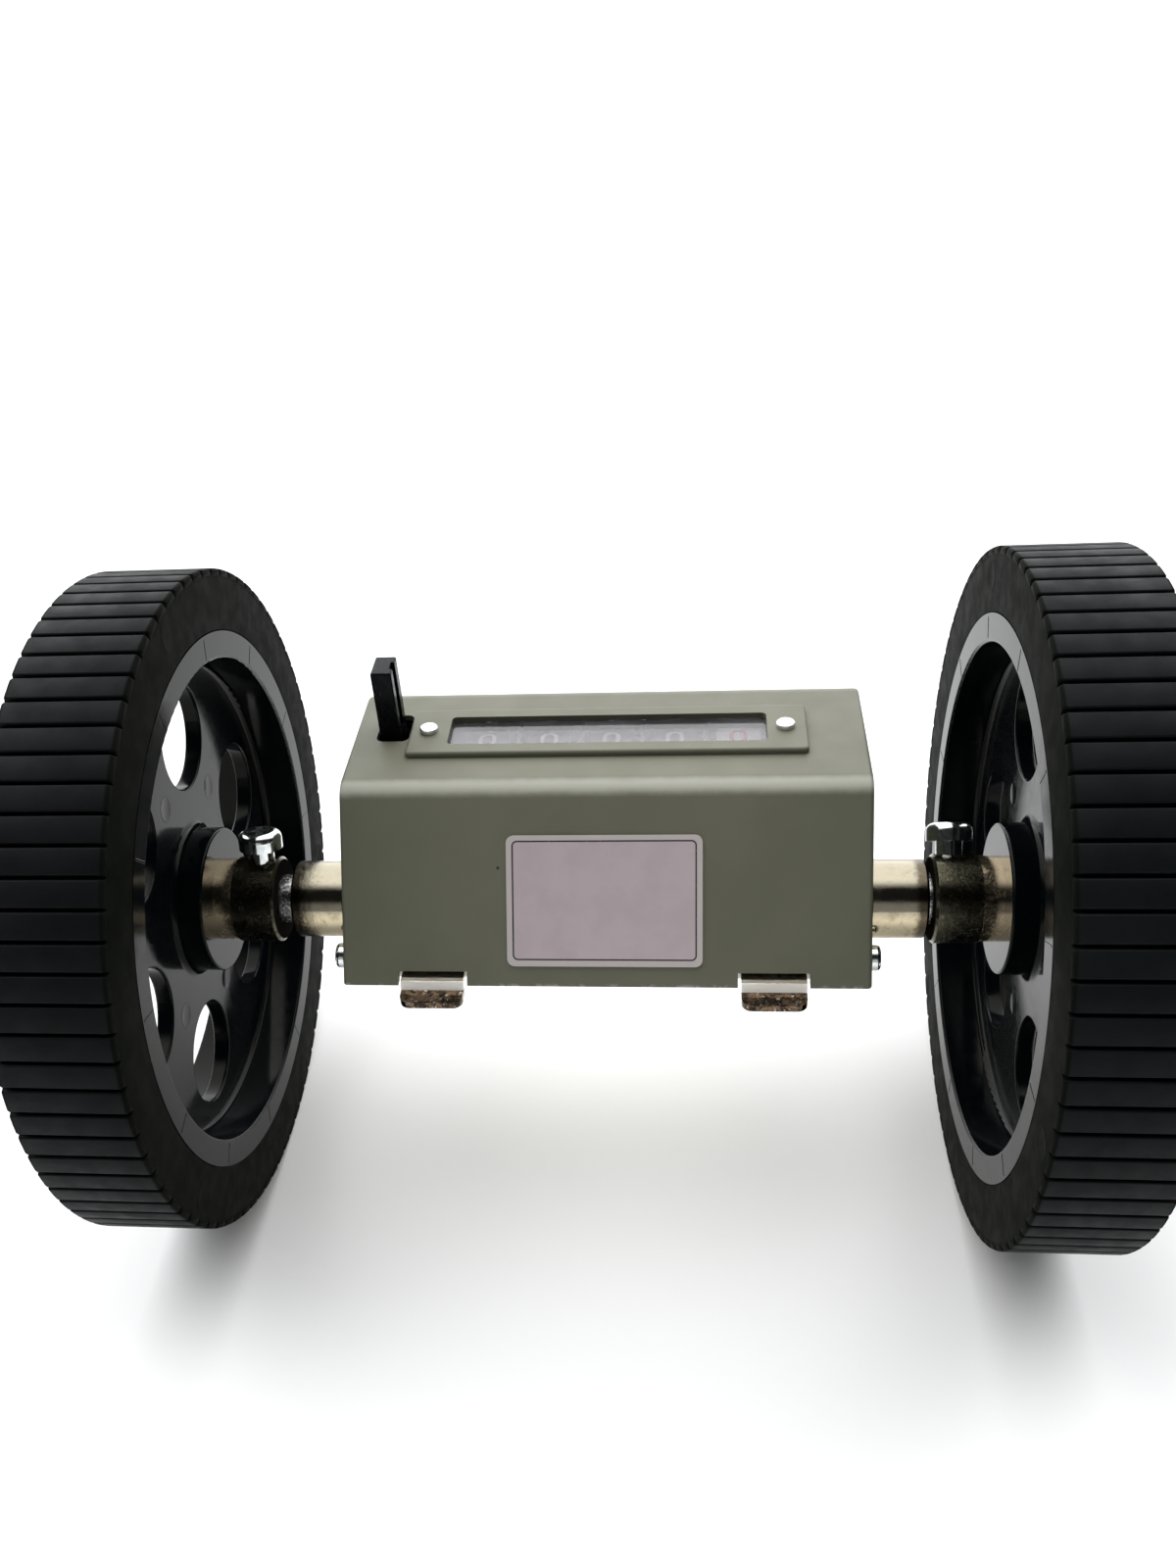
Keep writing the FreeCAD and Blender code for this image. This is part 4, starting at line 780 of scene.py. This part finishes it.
def makeWheelMarks(side, holeAngle):
    pins = linkNew("pin", meshFrom("pin", ejectorMark))
    pins = ringOf("pins", pins, 6, holeAngle + 30, finishes["wheel"])
    notches = linkNew("notch", meshFrom("notch", rimNotch))
    notches = ringOf("notches", notches, 12, holeAngle + 8, finishes["wheel"])
    whole = joinMeshes(f"{side}_wheel_marks", [pins, notches])
    if side == "left":
        mirrored(whole)
    whole.data.materials.clear()
    whole.data.materials.append(finishes["wheel"])
    smoothByAngle(whole.data, 20)
    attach(whole, "axle")


# digits on the number wheels
digits = {"high": 6.4, "thick": 0.05, "radius": 9.5, "centre": (19.3, 7.5), "first": 22.3, "pitch": 10.2}


# one digit as a flat mesh, cut into narrow strips so that it can follow the drum
def digitFlat(character):
    curve = bpy.data.curves.new("digit", "FONT")
    curve.body = character
    curve.size = digits["high"] * mm
    curve.align_x = "CENTER"
    curve.align_y = "CENTER"
    curve.resolution_u = 4
    source = linkNew("digit", curve)
    flat = plain("digitFlat", source)
    bm = bmesh.new()
    bm.from_mesh(flat.data)
    bpy.data.objects.remove(flat)
    for step in range(-9, 10):
        geometry = bm.verts[:] + bm.edges[:] + bm.faces[:]
        bmesh.ops.bisect_plane(bm, geom=geometry, plane_co=(0, step * 0.35 * mm, 0), plane_no=(0, 1, 0))
    bmesh.ops.remove_doubles(bm, verts=bm.verts, dist=1e-6)
    return bm


def makeDigits():
    y0, z0 = digits["centre"]
    radius = digits["radius"]
    for drum in range(1, 6):
        middle = digits["first"] - (drum - 1) * digits["pitch"]
        whole = bmesh.new()
        for value in range(10):
            bm = digitFlat(str(value))
            sheetFaces = bm.faces[:]
            grown = bmesh.ops.extrude_face_region(bm, geom=sheetFaces)
            lifted = {v for v in grown["geom"] if isinstance(v, bmesh.types.BMVert)}
            for vertex in bm.verts:
                lift = digits["thick"] if vertex in lifted else -0.02
                angle = math.radians(90 - 36 * value) - vertex.co.y / (radius * mm)
                r = (radius + lift) * mm
                vertex.co = (vertex.co.x * 1.05 + middle * mm, y0 * mm + r * math.cos(angle),
                             z0 * mm + r * math.sin(angle))
            bmesh.ops.recalc_face_normals(bm, faces=bm.faces)
            piece = bpy.data.meshes.new("one")
            bm.to_mesh(piece)
            bm.free()
            whole.from_mesh(piece)
            bpy.data.meshes.remove(piece)
        mesh = bpy.data.meshes.new(f"number_wheel_{drum}_digits")
        whole.to_mesh(mesh)
        whole.free()
        thing = linkNew(mesh.name, mesh)
        mesh.materials.append(finishes["lastDigit" if drum == 1 else "digit"])
        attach(thing, f"register_{drum}")


makeCamera()
makeStudio()
print("counter: camera and studio set")
finishCadNodes()
print("counter: finishes on", len(carried), "nodes")
makeTyre("left", 90.0)
makeTyre("right", 60.0)
makeWheelMarks("left", 5.1)
makeWheelMarks("right", 50.1)
makeDigits()
print("counter: tyres, mould marks and digits made")
